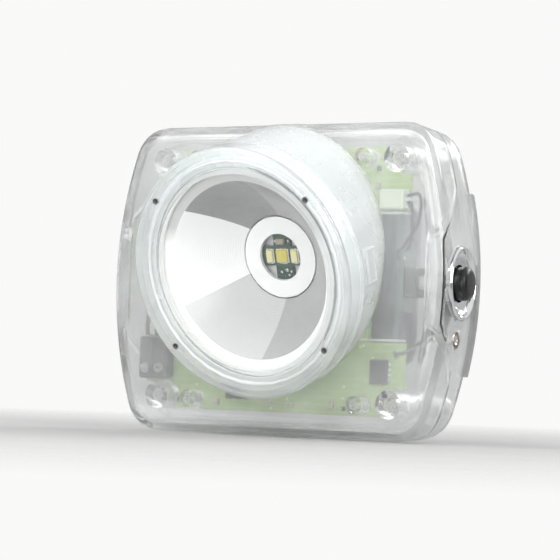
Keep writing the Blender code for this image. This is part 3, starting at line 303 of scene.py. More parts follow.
def pin_hole_shade_mask(tree):
    """Painted shade, 1 inside the four pin holes: both axes are folded, so that one circle stands for
    four.
    """
    split = tree.nodes.new("ShaderNodeSeparateXYZ")
    tree.links.new(place(tree, barrel), split.inputs[0])
    gaps = []
    for axis, middle in (("X", math.cos(PIN_HOLE_ANGLE)), ("Z", math.sin(PIN_HOLE_ANGLE))):
        folded = sum_up(tree, "ABSOLUTE", split.outputs[axis])
        gap = sum_up(tree, "SUBTRACT", folded, PIN_HOLE_CIRCLE * middle)
        gaps.append(sum_up(tree, "MULTIPLY", gap, gap))
    apart = sum_up(tree, "SQRT", sum_up(tree, "ADD", *gaps))
    in_front = spread(tree, split.outputs["Y"], 1, 0, HOLE_SHADE_FRONT, HOLE_SHADE_BACK)
    return sum_up(tree, "MULTIPLY", spread(tree, apart, 1, 0, HOLE_SHADE_INNER, HOLE_SHADE_OUTER), in_front)


def clear_plastic(name, clearest, milkiest, tint, smooth=0.03, rubbed=0.12, frost_and_shade_weight=0.0,
                  holes=False):
    """Clear plastic with clouds of haze, and where asked with frosting whose colour is painted shade, and
    with painted shade in the pin holes.
    """
    material, tree, shader = start_finish(name, IOR=1.5, Specular_IOR_Level=0.5)
    spot = place(tree)
    cloud = grain(tree, spot, HAZE_CLOUD)
    rub = grain(tree, spot, RUBBED_PATCH, 4)
    clear = spread(tree, cloud, clearest, milkiest)
    rough = spread(tree, rub, smooth, rubbed)
    pale = tuple(0.96 * value + 0.04 for value in tint)
    colour = mix_colours(tree, cloud, tint, pale)
    if frost_and_shade_weight:
        # Frosting whose grey-blue colour is painted shade.
        frost_and_shade = frost_and_shade_amount(tree)
        clear = sum_up(tree, "SUBTRACT", clear, sum_up(tree, "MULTIPLY", frost_and_shade, frost_and_shade_weight))
        rough = sum_up(tree, "ADD", rough, sum_up(tree, "MULTIPLY", frost_and_shade, FROST_ROUGHNESS))
        colour = mix_colours(tree, frost_and_shade, colour, FROST_SHADE_COLOUR)
    if holes:
        # Painted shade: the pin holes turn dark and opaque.
        hole_shade = pin_hole_shade_mask(tree)
        clear = sum_up(tree, "MULTIPLY", clear, sum_up(tree, "SUBTRACT", 1.0, hole_shade))
        colour = mix_colours(tree, hole_shade, colour, HOLE_SHADE_COLOUR)
    tree.links.new(clear, shader.inputs["Transmission Weight"])
    tree.links.new(rough, shader.inputs["Roughness"])
    tree.links.new(colour, shader.inputs["Base Color"])
    relief(tree, shader, grain(tree, spot, SURFACE_WAVE), 0.000005)
    let_lamps_through(material, SHADOW_TINT)
    return material


case_plastic = clear_plastic("clear case", 0.92, 0.84, (0.92, 0.93, 0.93), 0.06, 0.18, frost_and_shade_weight=0.58)
bezel_plastic = clear_plastic("clear bezel", 0.86, 0.78, (0.90, 0.92, 0.92), 0.05, 0.14, holes=True)
rib_plastic = clear_plastic("clear ribs", 0.86, 0.78, (0.93, 0.94, 0.94))
window_plastic = clear_plastic("clear window", 1.0, 0.985, (0.985, 0.99, 0.988), 0.005, 0.02)
print("made", case_plastic.name, bezel_plastic.name, window_plastic.name)

# %% [markdown]
# ## The reflector's bright bowl
# The bowl is moulded and metallised. Its reflections are painted into its colour as a few flat grey
# wedges that meet in straight lines at the white disc. A wedge is an angle round the barrel's axis, so
# the material turns each point's place into an angle and a Color Ramp with hard steps picks the grey
# of each painted reflection. The sharp steps would be hard to make by lighting, which moves with the
# viewer. Fine rings, as turning leaves in a mould, roughen the bowl a little. Outside the mouth the
# flange is a plain ring of its own with painted shade: light grey on top, where the bezel shades it,
# and white below.

# %% Painted reflection wedges round the barrel's axis
BOWL_PAINTED_REFLECTIONS = ((0.0, 0.42), (83.0, 0.30), (137.0, 0.98), (203.0, 0.62), (271.0, 0.42))
BOWL_MOUTH = 0.0184
RING_PITCH = 0.00035
FLANGE_SHADE_LOW, FLANGE_SHADE_HIGH = 0.006, 0.009


def angle_round(tree, spot):
    """Angle about the frame's Y, from 0 to 1, with 0 at X and a quarter straight up. Also X, Y, Z."""
    split = tree.nodes.new("ShaderNodeSeparateXYZ")
    tree.links.new(spot, split.inputs[0])
    angle = sum_up(tree, "ARCTAN2", split.outputs["Z"], split.outputs["X"])
    return sum_up(tree, "FRACT", sum_up(tree, "DIVIDE", angle, 2 * math.pi)), split


def stepped(tree, amount, steps):
    """Hard steps of grey along an amount from 0 to 1."""
    ramp = tree.nodes.new("ShaderNodeValToRGB")
    ramp.color_ramp.interpolation = "CONSTANT"
    elements = ramp.color_ramp.elements
    while len(elements) < len(steps):
        elements.new(0.5)
    for element, (turn, grey) in zip(elements, steps):
        element.position = turn / 360
        element.color = (grey, grey, grey * 1.005, 1)
    tree.links.new(amount, ramp.inputs["Fac"])
    return ramp.outputs["Color"]


def bright_bowl():
    material, tree, shader = start_finish("metallised bowl, painted reflections", 0.3, 0.05, Coat_Weight=0.25,
                                          Coat_Roughness=0.12)
    spot = place(tree, barrel)
    angle, split = angle_round(tree, spot)
    # The grey wedges are painted reflections.
    painted_reflections = stepped(tree, angle, BOWL_PAINTED_REFLECTIONS)
    radius = distance_off_axis(tree, split)
    flange = spread(tree, radius, 0, 1, BOWL_MOUTH, BOWL_MOUTH + 0.0001)
    # Painted shade on the flange: light grey on top, white below.
    shaded = spread(tree, split.outputs["Z"], 0, 1, FLANGE_SHADE_LOW, FLANGE_SHADE_HIGH)
    flange_painted_shade = mix_colours(tree, shaded, (0.96, 0.96, 0.96), (0.60, 0.60, 0.60))
    painted_reflections_and_shade = mix_colours(tree, flange, painted_reflections, flange_painted_shade)
    dust = spread(tree, grain(tree, spot, 0.0016, 5), 0.0, 0.05)
    tree.links.new(mix_colours(tree, dust, painted_reflections_and_shade, (0.90, 0.90, 0.90)), shader.inputs["Base Color"])
    turns = sum_up(tree, "MULTIPLY", split.outputs["Y"], 2 * math.pi / RING_PITCH)
    rings = sum_up(tree, "SINE", turns)
    tree.links.new(spread(tree, rings, 0.26, 0.36, -1, 1), shader.inputs["Roughness"])
    relief(tree, shader, spread(tree, rings, 0, 1, -1, 1), 0.0000012)
    return material


bowl_finish = bright_bowl()
print("bowl wedges:", len(BOWL_PAINTED_REFLECTIONS))

# %% [markdown]
# ## White plastic, soft seals and rubber
# The disc round the LEDs and the ring under the window are plain white mouldings, the seals are
# soft silicone, and the button is black rubber. They and the chips, leads and small housings are one
# recipe with other numbers: a colour that wanders a little, a fine grain in the surface, and a
# roughness that the grain moves.

# %% Moulded plastics and rubbers
def moulded(name, colour, shadow, size, depth, rough, sheen=0.0, blotch=0.006):
    """A moulded surface: two close colours, a grain of a size and depth, and a roughness span."""
    material, tree, shader = start_finish(name, Sheen_Weight=sheen)
    spot = place(tree)
    cloud = spread(tree, grain(tree, spot, blotch, 4), 0, 1)
    tree.links.new(mix_colours(tree, cloud, shadow, colour), shader.inputs["Base Color"])
    fine = grain(tree, spot, size, 3)
    tree.links.new(spread(tree, fine, *rough), shader.inputs["Roughness"])
    relief(tree, shader, fine, depth)
    return material


white_plastic = moulded("white plastic", (0.98, 0.98, 0.98), (0.95, 0.95, 0.95), 0.0003, 2e-6,
                        (0.4, 0.5))
pale_plate = moulded("anodised plate", (0.84, 0.85, 0.85), (0.72, 0.73, 0.74), 0.0003, 4e-6,
                     (0.3, 0.42))
white_seal = moulded("white silicone", (0.84, 0.85, 0.84), (0.76, 0.77, 0.76), 0.0004, 6e-6,
                     (0.4, 0.55))
black_rubber = moulded("black rubber", (0.012, 0.012, 0.013), (0.006, 0.006, 0.006), 0.00025, 9e-6,
                       (0.26, 0.42), blotch=0.002)
black_epoxy = moulded("chip epoxy", (0.030, 0.030, 0.032), (0.018, 0.018, 0.020), 0.0002, 6e-6,
                      (0.42, 0.58))
dark_housing = moulded("terminal plastic", (0.115, 0.12, 0.12), (0.08, 0.085, 0.085), 0.0003, 5e-6,
                       (0.4, 0.55))
grey_plastic = moulded("plunger plastic", (0.50, 0.50, 0.50), (0.42, 0.42, 0.42), 0.0003, 5e-6,
                       (0.4, 0.5))
cream_nylon = moulded("connector nylon", (0.48, 0.53, 0.42), (0.40, 0.45, 0.35), 0.0003, 5e-6,
                      (0.35, 0.5))
white_foam = moulded("foam pad", (0.76, 0.76, 0.72), (0.66, 0.66, 0.62), 0.0005, 6e-5, (0.85, 0.95))
grey_sleeve = moulded("grey lead", (0.13, 0.13, 0.13), (0.09, 0.09, 0.09), 0.0004, 5e-6, (0.35, 0.5))
black_sleeve = moulded("black lead", (0.022, 0.022, 0.023), (0.014, 0.014, 0.015), 0.0004, 5e-6,
                       (0.35, 0.5))
ferrite = moulded("ferrite", (0.085, 0.085, 0.09), (0.055, 0.055, 0.06), 0.0003, 2e-5, (0.55, 0.7))
ceramic = moulded("ceramic chip", (0.40, 0.36, 0.29), (0.33, 0.29, 0.23), 0.0002, 4e-6, (0.3, 0.45))
print("moulded finishes:", 13)

# %% [markdown]
# ## The seal between the shells
# The seal is clear silicone, so through the case only its outer lip shows, coloured dark. The
# material works out how far a point is from the case's bulging side and from its flat top, and
# darkens it near either one.

# %% Clear silicone with a dark lip
CASE_HALF_WIDTH, CASE_HALF_HEIGHT = -model_box[0].x, model_box[1].z
SIDE_BULGE, SIDE_LEAN, LEAN_START = 0.0065, 0.176, CASE_FACE + 0.0035
LIP_INNER, LIP_OUTER = 0.0012, 0.0009


def seal_with_lip():
    material, tree, shader = start_finish("lipped seal", IOR=1.41)
    split = tree.nodes.new("ShaderNodeSeparateXYZ")
    spot = place(tree)
    tree.links.new(spot, split.inputs[0])
    fine = grain(tree, spot, 0.002, 3)
    across = sum_up(tree, "ABSOLUTE", split.outputs["X"])
    upright = sum_up(tree, "ABSOLUTE", split.outputs["Z"])
    part = sum_up(tree, "DIVIDE", upright, CASE_HALF_HEIGHT)
    bulge = sum_up(tree, "MULTIPLY", sum_up(tree, "MULTIPLY", part, part), SIDE_BULGE)
    behind = sum_up(tree, "MAXIMUM", sum_up(tree, "SUBTRACT", split.outputs["Y"], LEAN_START), 0)
    drawn_in = sum_up(tree, "ADD", bulge, sum_up(tree, "MULTIPLY", behind, SIDE_LEAN))
    from_side = sum_up(tree, "SUBTRACT", sum_up(tree, "SUBTRACT", CASE_HALF_WIDTH, drawn_in), across)
    from_top = sum_up(tree, "SUBTRACT", CASE_HALF_HEIGHT, upright)
    nearest = sum_up(tree, "MINIMUM", from_side, from_top)
    wander = spread(tree, fine, -0.0001, 0.0001)
    lip = spread(tree, sum_up(tree, "ADD", nearest, wander), 1, 0, LIP_OUTER, LIP_INNER)
    tree.links.new(mix_colours(tree, lip, (0.92, 0.93, 0.93), (0.045, 0.048, 0.05)),
                   shader.inputs["Base Color"])
    tree.links.new(sum_up(tree, "SUBTRACT", 0.92, sum_up(tree, "MULTIPLY", lip, 0.9)),
                   shader.inputs["Transmission Weight"])
    tree.links.new(spread(tree, fine, 0.1, 0.2), shader.inputs["Roughness"])
    relief(tree, shader, fine, 1e-6)
    return material


seam_seal = seal_with_lip()
print("made", seam_seal.name)

# %% [markdown]
# ## Metals
# Brushed steel shows lines along one direction, which is noise squeezed 12 times across the brush
# stroke. Plated and turned pieces only need faint wear in the roughness. Real metal colour is close
# to grey, and the darker second colour stands for tarnish where fingers and weather reach it.

# %% Brushed, plated and turned metal
def metal(name, colour, tarnish, rough, brush=(1, 1, 1), depth=2e-6, size=0.0009):
    """A metal: its colour and tarnish, a roughness span, and the stretch of its brush lines."""
    material, tree, shader = start_finish(name, metallic=1.0)
    spot = place(tree, stretch=brush)
    lines = grain(tree, spot, size, 5)
    cloud = spread(tree, grain(tree, place(tree), 0.005, 5), 0, 1)
    tree.links.new(mix_colours(tree, cloud, tarnish, colour), shader.inputs["Base Color"])
    tree.links.new(spread(tree, lines, *rough), shader.inputs["Roughness"])
    relief(tree, shader, lines, depth)
    return material


brushed_steel = metal("brushed steel", (0.66, 0.66, 0.64), (0.56, 0.56, 0.54), (0.24, 0.42),
                      (1, 12, 12), 6e-6)
screw_steel = metal("screw steel", (0.62, 0.62, 0.60), (0.50, 0.50, 0.48), (0.22, 0.36))
bright_plate = metal("bright plating", (0.86, 0.87, 0.88), (0.78, 0.79, 0.80), (0.04, 0.11), depth=1e-6)
turned_aluminium = metal("turned aluminium", (0.78, 0.79, 0.80), (0.70, 0.71, 0.72), (0.26, 0.4))
solder = metal("solder", (0.74, 0.75, 0.76), (0.60, 0.61, 0.62), (0.16, 0.34), depth=8e-6, size=0.0004)


WEAR_INNER, WEAR_OUTER = 0.00085, 0.00105


def worn_contact():
    """Brown plating with a pale middle, where the charger's pin has rubbed it away."""
    material, tree, shader = start_finish("worn contact", metallic=1.0)
    spot = place(tree, Matrix.Translation(middle_of("charge_contact")) @ button_turn)
    split = tree.nodes.new("ShaderNodeSeparateXYZ")
    tree.links.new(spot, split.inputs[0])
    radius = distance_off_axis(tree, split)
    wander = spread(tree, grain(tree, spot, 0.0006, 3), -0.00012, 0.00012)
    plated = spread(tree, sum_up(tree, "ADD", radius, wander), 0, 1, WEAR_INNER, WEAR_OUTER)
    cloud = spread(tree, grain(tree, spot, 0.0008, 4), 0, 1)
    brown = mix_colours(tree, cloud, (0.24, 0.19, 0.14), (0.38, 0.30, 0.21))
    tree.links.new(mix_colours(tree, plated, (0.80, 0.80, 0.78), brown), shader.inputs["Base Color"])
    tree.links.new(spread(tree, cloud, 0.22, 0.4, 0, 1), shader.inputs["Roughness"])
    relief(tree, shader, cloud, 3e-6)
    return material


contact_metal = worn_contact()
print("metals:", 6)

# %% [markdown]
# ## The lithium cell
# A prismatic cell is an aluminium can in a grey sleeve. Drawing the can leaves faint upright lines,
# which is what shows through the board's notch, so the noise is stretched along Z and it moves the
# colour as well as the roughness.

# %% The cell's sleeve
def cell_sleeve():
    material, tree, shader = start_finish("cell sleeve", metallic=0.55, Coat_Weight=0.3,
                                          Coat_Roughness=0.2)
    lines = grain(tree, place(tree, stretch=(1, 1, 0.04)), 0.0007, 4)
    broad = spread(tree, grain(tree, place(tree, stretch=(1, 1, 0.25)), 0.008, 3), 0, 1)
    dark = mix_colours(tree, broad, (0.035, 0.040, 0.043), (0.12, 0.13, 0.14))
    tree.links.new(mix_colours(tree, spread(tree, lines, 0, 0.4), dark, (0.22, 0.24, 0.25)),
                   shader.inputs["Base Color"])
    tree.links.new(spread(tree, lines, 0.3, 0.5), shader.inputs["Roughness"])
    relief(tree, shader, lines, 8e-6)
    return material


sleeve_finish = cell_sleeve()
print("made", sleeve_finish.name)

# %% [markdown]
# ## Circuit boards
# A board is glass laminate under solder mask. Copper tracks lie under the mask and show as paler
# raised lines, and plated holes show as small bright dots. A Brick texture with an offset of half a
# brick gives tracks that run in short straight lengths and turn at right angles. Voronoi cells give
# the holes: each cell's middle is one hole.

# %% Solder mask over copper tracks
def circuit_board(name, mask, track, pitch=0.0019):
    material, tree, shader = start_finish(name, 0.35, Coat_Weight=0.4, Coat_Roughness=0.15)
    flat = tree.nodes.new("ShaderNodeSeparateXYZ")
    tree.links.new(place(tree), flat.inputs[0])
    facing = tree.nodes.new("ShaderNodeCombineXYZ")
    tree.links.new(flat.outputs["X"], facing.inputs["X"])
    tree.links.new(flat.outputs["Z"], facing.inputs["Y"])
    spot = facing.outputs[0]
    tracks = tree.nodes.new("ShaderNodeTexBrick")
    for socket, value in (("Scale", 1.0), ("Brick Width", pitch * 3.1), ("Row Height", pitch),
                          ("Mortar Size", pitch * 0.05), ("Mortar Smooth", 0.4)):
        tracks.inputs[socket].default_value = value
    tree.links.new(spot, tracks.inputs["Vector"])
    holes = tree.nodes.new("ShaderNodeTexVoronoi")
    holes.inputs["Scale"].default_value = 1 / (pitch * 1.6)
    tree.links.new(spot, holes.inputs["Vector"])
    hole = spread(tree, holes.outputs["Distance"], 1, 0, 0.10, 0.14)
    cloud = spread(tree, grain(tree, spot, 0.006, 3), 0, 1)
    deep = tuple(0.82 * value for value in mask)
    base = mix_colours(tree, cloud, deep, mask)
    lined = mix_colours(tree, tracks.outputs["Fac"], base, track)
    tree.links.new(mix_colours(tree, hole, lined, (0.70, 0.66, 0.50)), shader.inputs["Base Color"])
    tree.links.new(spread(tree, grain(tree, spot, 0.0005, 4), 0.28, 0.42), shader.inputs["Roughness"])
    relief(tree, shader, tracks.outputs["Fac"], 0.00003)
    return material


board_green = circuit_board("green board", (0.33, 0.44, 0.19), (0.38, 0.49, 0.25), 0.0014)
board_dark = circuit_board("dark board", (0.035, 0.085, 0.060), (0.10, 0.17, 0.13), 0.0011)
print("boards:", board_green.name, "and", board_dark.name)

# %% [markdown]
# ## The LEDs
# Each LED is a ceramic tile with a square of phosphor on it. The phosphor is yellow when it is off.
# Its crystals make a fine speckle, and the silicone over it gives a soft gloss.

# %% Phosphor
def phosphor(name, colour, edge):
    material, tree, shader = start_finish(name, 0.3, Coat_Weight=0.6, Coat_Roughness=0.08)
    speckle = spread(tree, grain(tree, place(tree), 0.00012, 2), 0, 1)
    broad = spread(tree, grain(tree, place(tree), 0.0009, 2), 0, 0.6)
    warm = mix_colours(tree, speckle, edge, colour)
    tree.links.new(mix_colours(tree, broad, warm, edge), shader.inputs["Base Color"])
    tree.links.new(spread(tree, speckle, 0.28, 0.4, 0, 1), shader.inputs["Roughness"])
    relief(tree, shader, speckle, 6e-6)
    return material


main_phosphor = phosphor("main phosphor", (0.76, 0.66, 0.13), (0.60, 0.52, 0.12))
side_phosphor = phosphor("side phosphor", (0.86, 0.82, 0.42), (0.70, 0.68, 0.36))
print("phosphors:", main_phosphor.name, "and", side_phosphor.name)

# %% [markdown]
# ## Give each piece of the model its finish
# The list pairs a finish with the nodes that wear it. A name that ends in a star stands for every
# node that starts with it, so the screws need one line each.

# %% Dress the model
DRESS = (
    (case_plastic, "front_housing rear_cover"),
    (bezel_plastic, "bezel_ring"),
    (window_plastic, "front_lens"),
    (bowl_finish, "reflector"),
    (white_plastic, "led_centring_ring"),
    (white_seal, "lens_gasket bezel_seal"),
    (seam_seal, "housing_gasket"),
    (black_rubber, "push_button button_seal"),
    (black_epoxy, "charge_chip driver_chip switch_body"),
    (dark_housing, "terminal_block"),
    (grey_plastic, "switch_plunger"),
    (cream_nylon, "switch_connector"),
    (white_foam, "cell_pad"),
    (grey_sleeve, "battery_lead_plus led_lead_plus contact_lead"),
    (black_sleeve, "battery_lead_minus led_lead_minus switch_lead_*"),
    (ferrite, "power_coil"),
    (ceramic, "led_capacitor"),
    (brushed_steel, "helmet_clip"),
    (screw_steel, "cover_screw_* clip_screw_* board_screw_* collar_nut"),
    (bright_plate, "button_collar"),
    (turned_aluminium, "smoothing_capacitor"),
    (pale_plate, "heat_sink"),
    (contact_metal, "charge_contact"),
    (sleeve_finish, "battery_cell"),
    (board_green, "control_board guard_board"),
    (board_dark, "led_board switch_board"),
    (main_phosphor, "main_led"),
    (side_phosphor, "side_led_left side_led_right"),
)


def matching(pattern):
    if pattern.endswith("*"):
        return [name for name in frame["nodes"] if name.startswith(pattern[:-1])]
    return [pattern]


dressed = set()
for finish, patterns in DRESS:
    for name in (name for pattern in patterns.split() for name in matching(pattern)):
        slots = frame["nodes"][name].data.materials
        slots.clear()
        slots.append(finish)
        dressed.add(name)
print("dressed", len(dressed), "of", len(frame["nodes"]), "nodes; left:", set(frame["nodes"]) - dressed)

# %% [markdown]
# ## Small parts on the board
# A bare board looks like a toy, so it gets the small parts that a driver circuit has: chip
# resistors and capacitors, each a bevelled body between two soldered ends. One helper adds a
# bevelled box to a mesh and another turns the mesh into a piece that rides on the case. Each part
# is laid on the board's face, at a place given in millimetres.

# %% Helpers for small parts
def add_box(bm, size, centre, matrix=None, slot=0, edge=0.00006):
    """A bevelled box in a mesh, with its faces in a material slot."""
    old_faces = set(bm.faces)
    base = matrix or Matrix.Identity(4)
    spot = base @ Matrix.Translation(centre) @ Matrix.Diagonal((*size, 1))
    corners = bmesh.ops.create_cube(bm, size=1.0, matrix=spot)["verts"]
    edges = list({link for corner in corners for link in corner.link_edges})
    bmesh.ops.bevel(bm, geom=edges, offset=edge, segments=2, profile=0.6, affect="EDGES")
    for face in set(bm.faces) - old_faces:
        face.material_index = slot


def add_blob(bm, radius, centre, matrix, flat):
    """A dome of solder: a ball pressed flat along Y."""
    spot = matrix @ Matrix.Translation(centre) @ Matrix.Diagonal((radius, radius * flat, radius, 1))
    bmesh.ops.create_icosphere(bm, subdivisions=3, radius=1.0, matrix=spot)


def finished_piece(name, bm, finishes, body="case"):
    """Name a mesh, dress it, and let it ride on a body of the model."""
    mesh = bpy.data.meshes.new(name)
    bmesh.ops.recalc_face_normals(bm, faces=bm.faces)
    bm.to_mesh(mesh)
    bm.free()
    for finish in finishes:
        mesh.materials.append(finish)
    mesh.shade_smooth()
    mesh.set_sharp_from_angle(angle=SHARP_ANGLE)
    piece = bpy.data.objects.new(name, mesh)
    bpy.context.scene.collection.objects.link(piece)
    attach(piece, body)
    return piece


BOARD_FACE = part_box("control_board")[0].y
print("board face at", round(BOARD_FACE * 1000, 2), "mm")

# %% Chip resistors and capacitors, as X and Z in millimetres and a turn in degrees
MM = 0.001
CHIP_LONG, CHIP_WIDE = 1.0 * MM, 0.8 * MM
END_LONG, END_WIDE, END_MIDDLE = 0.28 * MM, 0.84 * MM, 0.66 * MM
END_PROUD = 1.06
RESISTORS = ((26.6, -24.4, 0), (26.6, -22.9, 0), (18.6, -25.8, 0), (16.2, -25.8, 0), (28.0, -14.6, 90),
             (24.0, 25.2, 0), (26.6, 25.2, 90), (22.4, 22.8, 90), (-25.0, -25.2, 0), (-17.5, 25.6, 0))
CAPACITORS = ((21.0, -24.0, 90), (13.2, -25.2, 90), (3.0, -25.6, 0), (-2.0, -25.4, 0), (-15.2, -25.4, 90),
              (19.6, 25.4, 0), (22.4, 19.4, 90), (-20.6, 25.6, 90), (0.5, 25.8, 0))


def chip_parts(name, places, height, body_finish):
    """Bodies 1 mm long between soldered ends, laid on the board's face."""
    bm = bmesh.new()
    for x, z, turn in places:
        spot = (Matrix.Translation((x * MM, BOARD_FACE - height / 2, z * MM))
                @ Matrix.Rotation(math.radians(turn), 4, "Y"))
        add_box(bm, (CHIP_LONG, height, CHIP_WIDE), (0, 0, 0), spot, 0)
        for side in (-1, 1):
            add_box(bm, (END_LONG, height * END_PROUD, END_WIDE), (side * END_MIDDLE, 0, 0), spot, 1)
    return finished_piece(name, bm, (body_finish, solder))


chip_parts("chip_resistors", RESISTORS, 0.45 * MM, black_epoxy)
chip_parts("chip_capacitors", CAPACITORS, 0.8 * MM, ceramic)
print("resistors:", len(RESISTORS), "capacitors:", len(CAPACITORS))

# %% [markdown]
# ## Legs, pins and solder
# Both chips stand on bent legs, the connector's wires end in crimped pins, and the terminal block
# has a raised lip and two clamp screws. Legs are short boxes in a row, made by a loop from the
# box of the chip that they belong to, so they move with it.

# %% Chip legs, connector pins and terminal screws
LEG_EDGE = 0.00003
LEG_FOOT, LEG_FOOT_THICK = 0.0005, 0.00018
LEG_RISE, LEG_RISE_THICK = 0.0005, 0.00016


def chip_legs(node, per_side):
    """Short flat legs down both upright sides of a chip."""
    low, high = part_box(node)
    bm = bmesh.new()
    step = (high.z - low.z) / (per_side + 0.5)
    for side, edge in ((-1, low.x), (1, high.x)):
        for i in range(per_side):
            z = low.z + step * (i + 0.75)
            add_box(bm, (LEG_FOOT, LEG_FOOT_THICK, step * 0.45),
                    (edge + side * 0.0003, BOARD_FACE - 0.0001, z), edge=LEG_EDGE)
            add_box(bm, (LEG_RISE_THICK, LEG_RISE, step * 0.45),
                    (edge + side * 0.0001, BOARD_FACE - 0.00035, z), edge=LEG_EDGE)
    return finished_piece(f"{node}_legs", bm, (solder,))


for chip, legs in (("charge_chip", 4), ("driver_chip", 5)):
    chip_legs(chip, legs)


def connector_pins():
    """Three crimped pins in the connector's right end, and three soldered tails at its left."""
    low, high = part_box("switch_connector")
    bm = bmesh.new()
    for i in range(3):
        z = low.z + (high.z - low.z) * (i + 0.5) / 3
        add_box(bm, (0.0012, 0.0009, 0.0008), (high.x + 0.0001, (low.y + high.y) / 2, z))
        add_box(bm, (0.0018, 0.0002, 0.0006), (low.x - 0.0007, BOARD_FACE - 0.0001, z), edge=LEG_EDGE)
    return finished_piece("connector_pins", bm, (solder,))


def terminal_trim():
    """A raised lip up the terminal block, and a clamp screw on each side of it."""
    low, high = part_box("terminal_block")
    middle = (low + high) / 2
    bm = bmesh.new()
    add_box(bm, (0.0005, 0.0004, high.z - low.z - 0.0012), (middle.x, low.y - 0.0001, middle.z),
            edge=0.0001)
    for side in (-1, 1):
        centre = Vector((middle.x + side * 0.0018, low.y + 0.0001, middle.z - 0.0022))
        turn = Matrix.Translation(centre) @ Matrix.Rotation(math.radians(90), 4, "X")
        bmesh.ops.create_cone(bm, cap_ends=True, segments=32, radius1=0.0012, radius2=0.0011,
                              depth=0.0006, matrix=turn)
    for face in bm.faces:
        face.material_index = 1 if abs(face.calc_center_median().x - middle.x) > 0.0004 else 0
    return finished_piece("terminal_trim", bm, (dark_housing, screw_steel))


connector_pins()
terminal_trim()
print("legs, pins and terminal screws made")

# %% [markdown]
# ## LED tiles and their solder
# The phosphor squares sit on white ceramic tiles with a silver rim. A tile is a box a little wider
# than its phosphor and thinner, so the phosphor stands proud of it. The board's arms carry the
# solder joints where the leads end.

# %% Tiles under the LEDs, in the barrel's frame
led_front = reach_along("led_board", barrel)[0]
LED_STEP = 0.0030
MAIN_TILE, SIDE_TILE = 0.0029, 0.0018
TILE_THICK, TILE_EDGE = 0.00012, 0.00004
RIM_THICK, RIM_WIDE, RIM_MIDDLE, RIM_EDGE = 0.00020, 0.00024, 0.00152, 0.00003


def led_tiles():
    bm = bmesh.new()
    for x, width in ((0, MAIN_TILE), (-LED_STEP, SIDE_TILE), (LED_STEP, SIDE_TILE)):
        add_box(bm, (width, TILE_THICK, MAIN_TILE), (x, led_front - 0.00007, 0), barrel, 0, TILE_EDGE)
        for side in (-1, 1):
            add_box(bm, (width * 0.7, RIM_THICK, RIM_WIDE),
                    (x, led_front - 0.00011, side * RIM_MIDDLE), barrel, 1, RIM_EDGE)
    return finished_piece("led_tiles", bm, (pale_plate, solder))


SOLDER_JOINTS = ((0.0006, -0.0030, 0.0004), (-0.0008, -0.0034, 0.00032), (0.0010, -0.0040, 0.00028),
                 (-0.0016, 0.0031, 0.0003), (0.0016, 0.0031, 0.0003))


def led_solder():
    bm = bmesh.new()
    for x, z, radius in SOLDER_JOINTS:
        add_blob(bm, radius, (x, led_front - 0.00004, z), barrel, 0.45)
    return finished_piece("led_solder", bm, (solder,))


led_tiles()
led_solder()
print("LED board front, back along the barrel:", round(led_front * 1000, 2), "mm")

# %% [markdown]
# ## Threads that show through clear plastic
# The case screws stand in clear bosses, so their threads show. A thread is one ridge wound round a
# shank. A curve along a helix with a round bevel makes it, and the curve's point radius fades both
# ends of the ridge into the shank.

# %% Helical ridges
def thread(name, matrix, radius, start, end, pitch, thick, finish, per_turn=20):
    """A ridge wound round a frame's Y axis from start to end."""
    curve = bpy.data.curves.new(name, "CURVE")
    curve.dimensions = "3D"
    curve.bevel_depth = thick
    curve.bevel_resolution = 2
    curve.use_fill_caps = True
    spline = curve.splines.new("POLY")
    count = max(int(abs(end - start) / pitch * per_turn), 8)
    spline.points.add(count)
    for i, point in enumerate(spline.points):
        turn = 2 * math.pi * i / per_turn
        along = start + (end - start) * i / count
        point.co = (*(matrix @ Vector((radius * math.cos(turn), along, radius * math.sin(turn)))), 1)
        point.radius = min(1, 0.2 + 4 * min(i, count - i) / per_turn)
    curve.materials.append(finish)
    ridge = bpy.data.objects.new(name, curve)
    bpy.context.scene.collection.objects.link(ridge)
    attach(ridge, "case")
    return ridge


SHANK_RADIUS = 0.0011
THREAD_START, THREAD_END, THREAD_PITCH = 0.0004, 0.0072, 0.0007
RIDGE_RADIUS = 0.00014
for name in matching("cover_screw_*"):
    low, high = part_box(name)
    axis = Matrix.Translation(((low.x + high.x) / 2, 0, (low.z + high.z) / 2))
    thread(name.replace("cover_screw", "screw_thread"), axis, SHANK_RADIUS, low.y + THREAD_START,
           low.y + THREAD_END, THREAD_PITCH, RIDGE_RADIUS, screw_steel)
print("threads: 4 screws")

# %% [markdown]
# ## Ribs beside the notch
# Two thin ribs are moulded inside the front shell, one above and one below the board's notch. They
# keep the cell away from the switch, and their edges read as bright lines through the case.

# %% Moulded ribs
INSIDE_FACE = -0.0249
LOWER_RIB = -0.0118
RIB_THICK = 0.0005


def notch_ribs():
    shell_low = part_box("front_housing")[0]
    cell_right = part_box("battery_cell")[1].x
    left, right = cell_right - 0.0066, cell_right + 0.0028
    connector_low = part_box("switch_connector")[0].z
    bm = bmesh.new()
    for z in (connector_low - 0.0008, LOWER_RIB):
        add_box(bm, (right - left, BOARD_FACE - INSIDE_FACE - 0.0002, RIB_THICK),
                ((left + right) / 2, (BOARD_FACE + INSIDE_FACE) / 2, z), edge=0.0001)
    print("ribs end at", round(right * 1000, 1), "mm, shell's left at", round(shell_low.x * 1000, 1))
    return finished_piece("notch_ribs", bm, (rib_plastic,))


notch_ribs()

# %% [markdown]
# ## Studio
# The floor is a plain pale sheet under the lamp. The world lights the clear plastic from all round,
# because what a clear piece shows is mostly what surrounds it: bright overhead, a little darker at
# the sides, so that edges draw themselves in grey. The camera itself only sees an even pale tone.

# %% Floor and world
FLOOR_RADIUS = 3.0
FLOOR_GAP = 0.0002
FADE_START, FADE_END = 0.06, 0.26
floor_height = model_box[0].z
bpy.ops.mesh.primitive_circle_add(vertices=96, radius=FLOOR_RADIUS, fill_type="NGON",
                                  location=(0, 0, floor_height - FLOOR_GAP))
floor = bpy.context.object
floor.name = "floor"


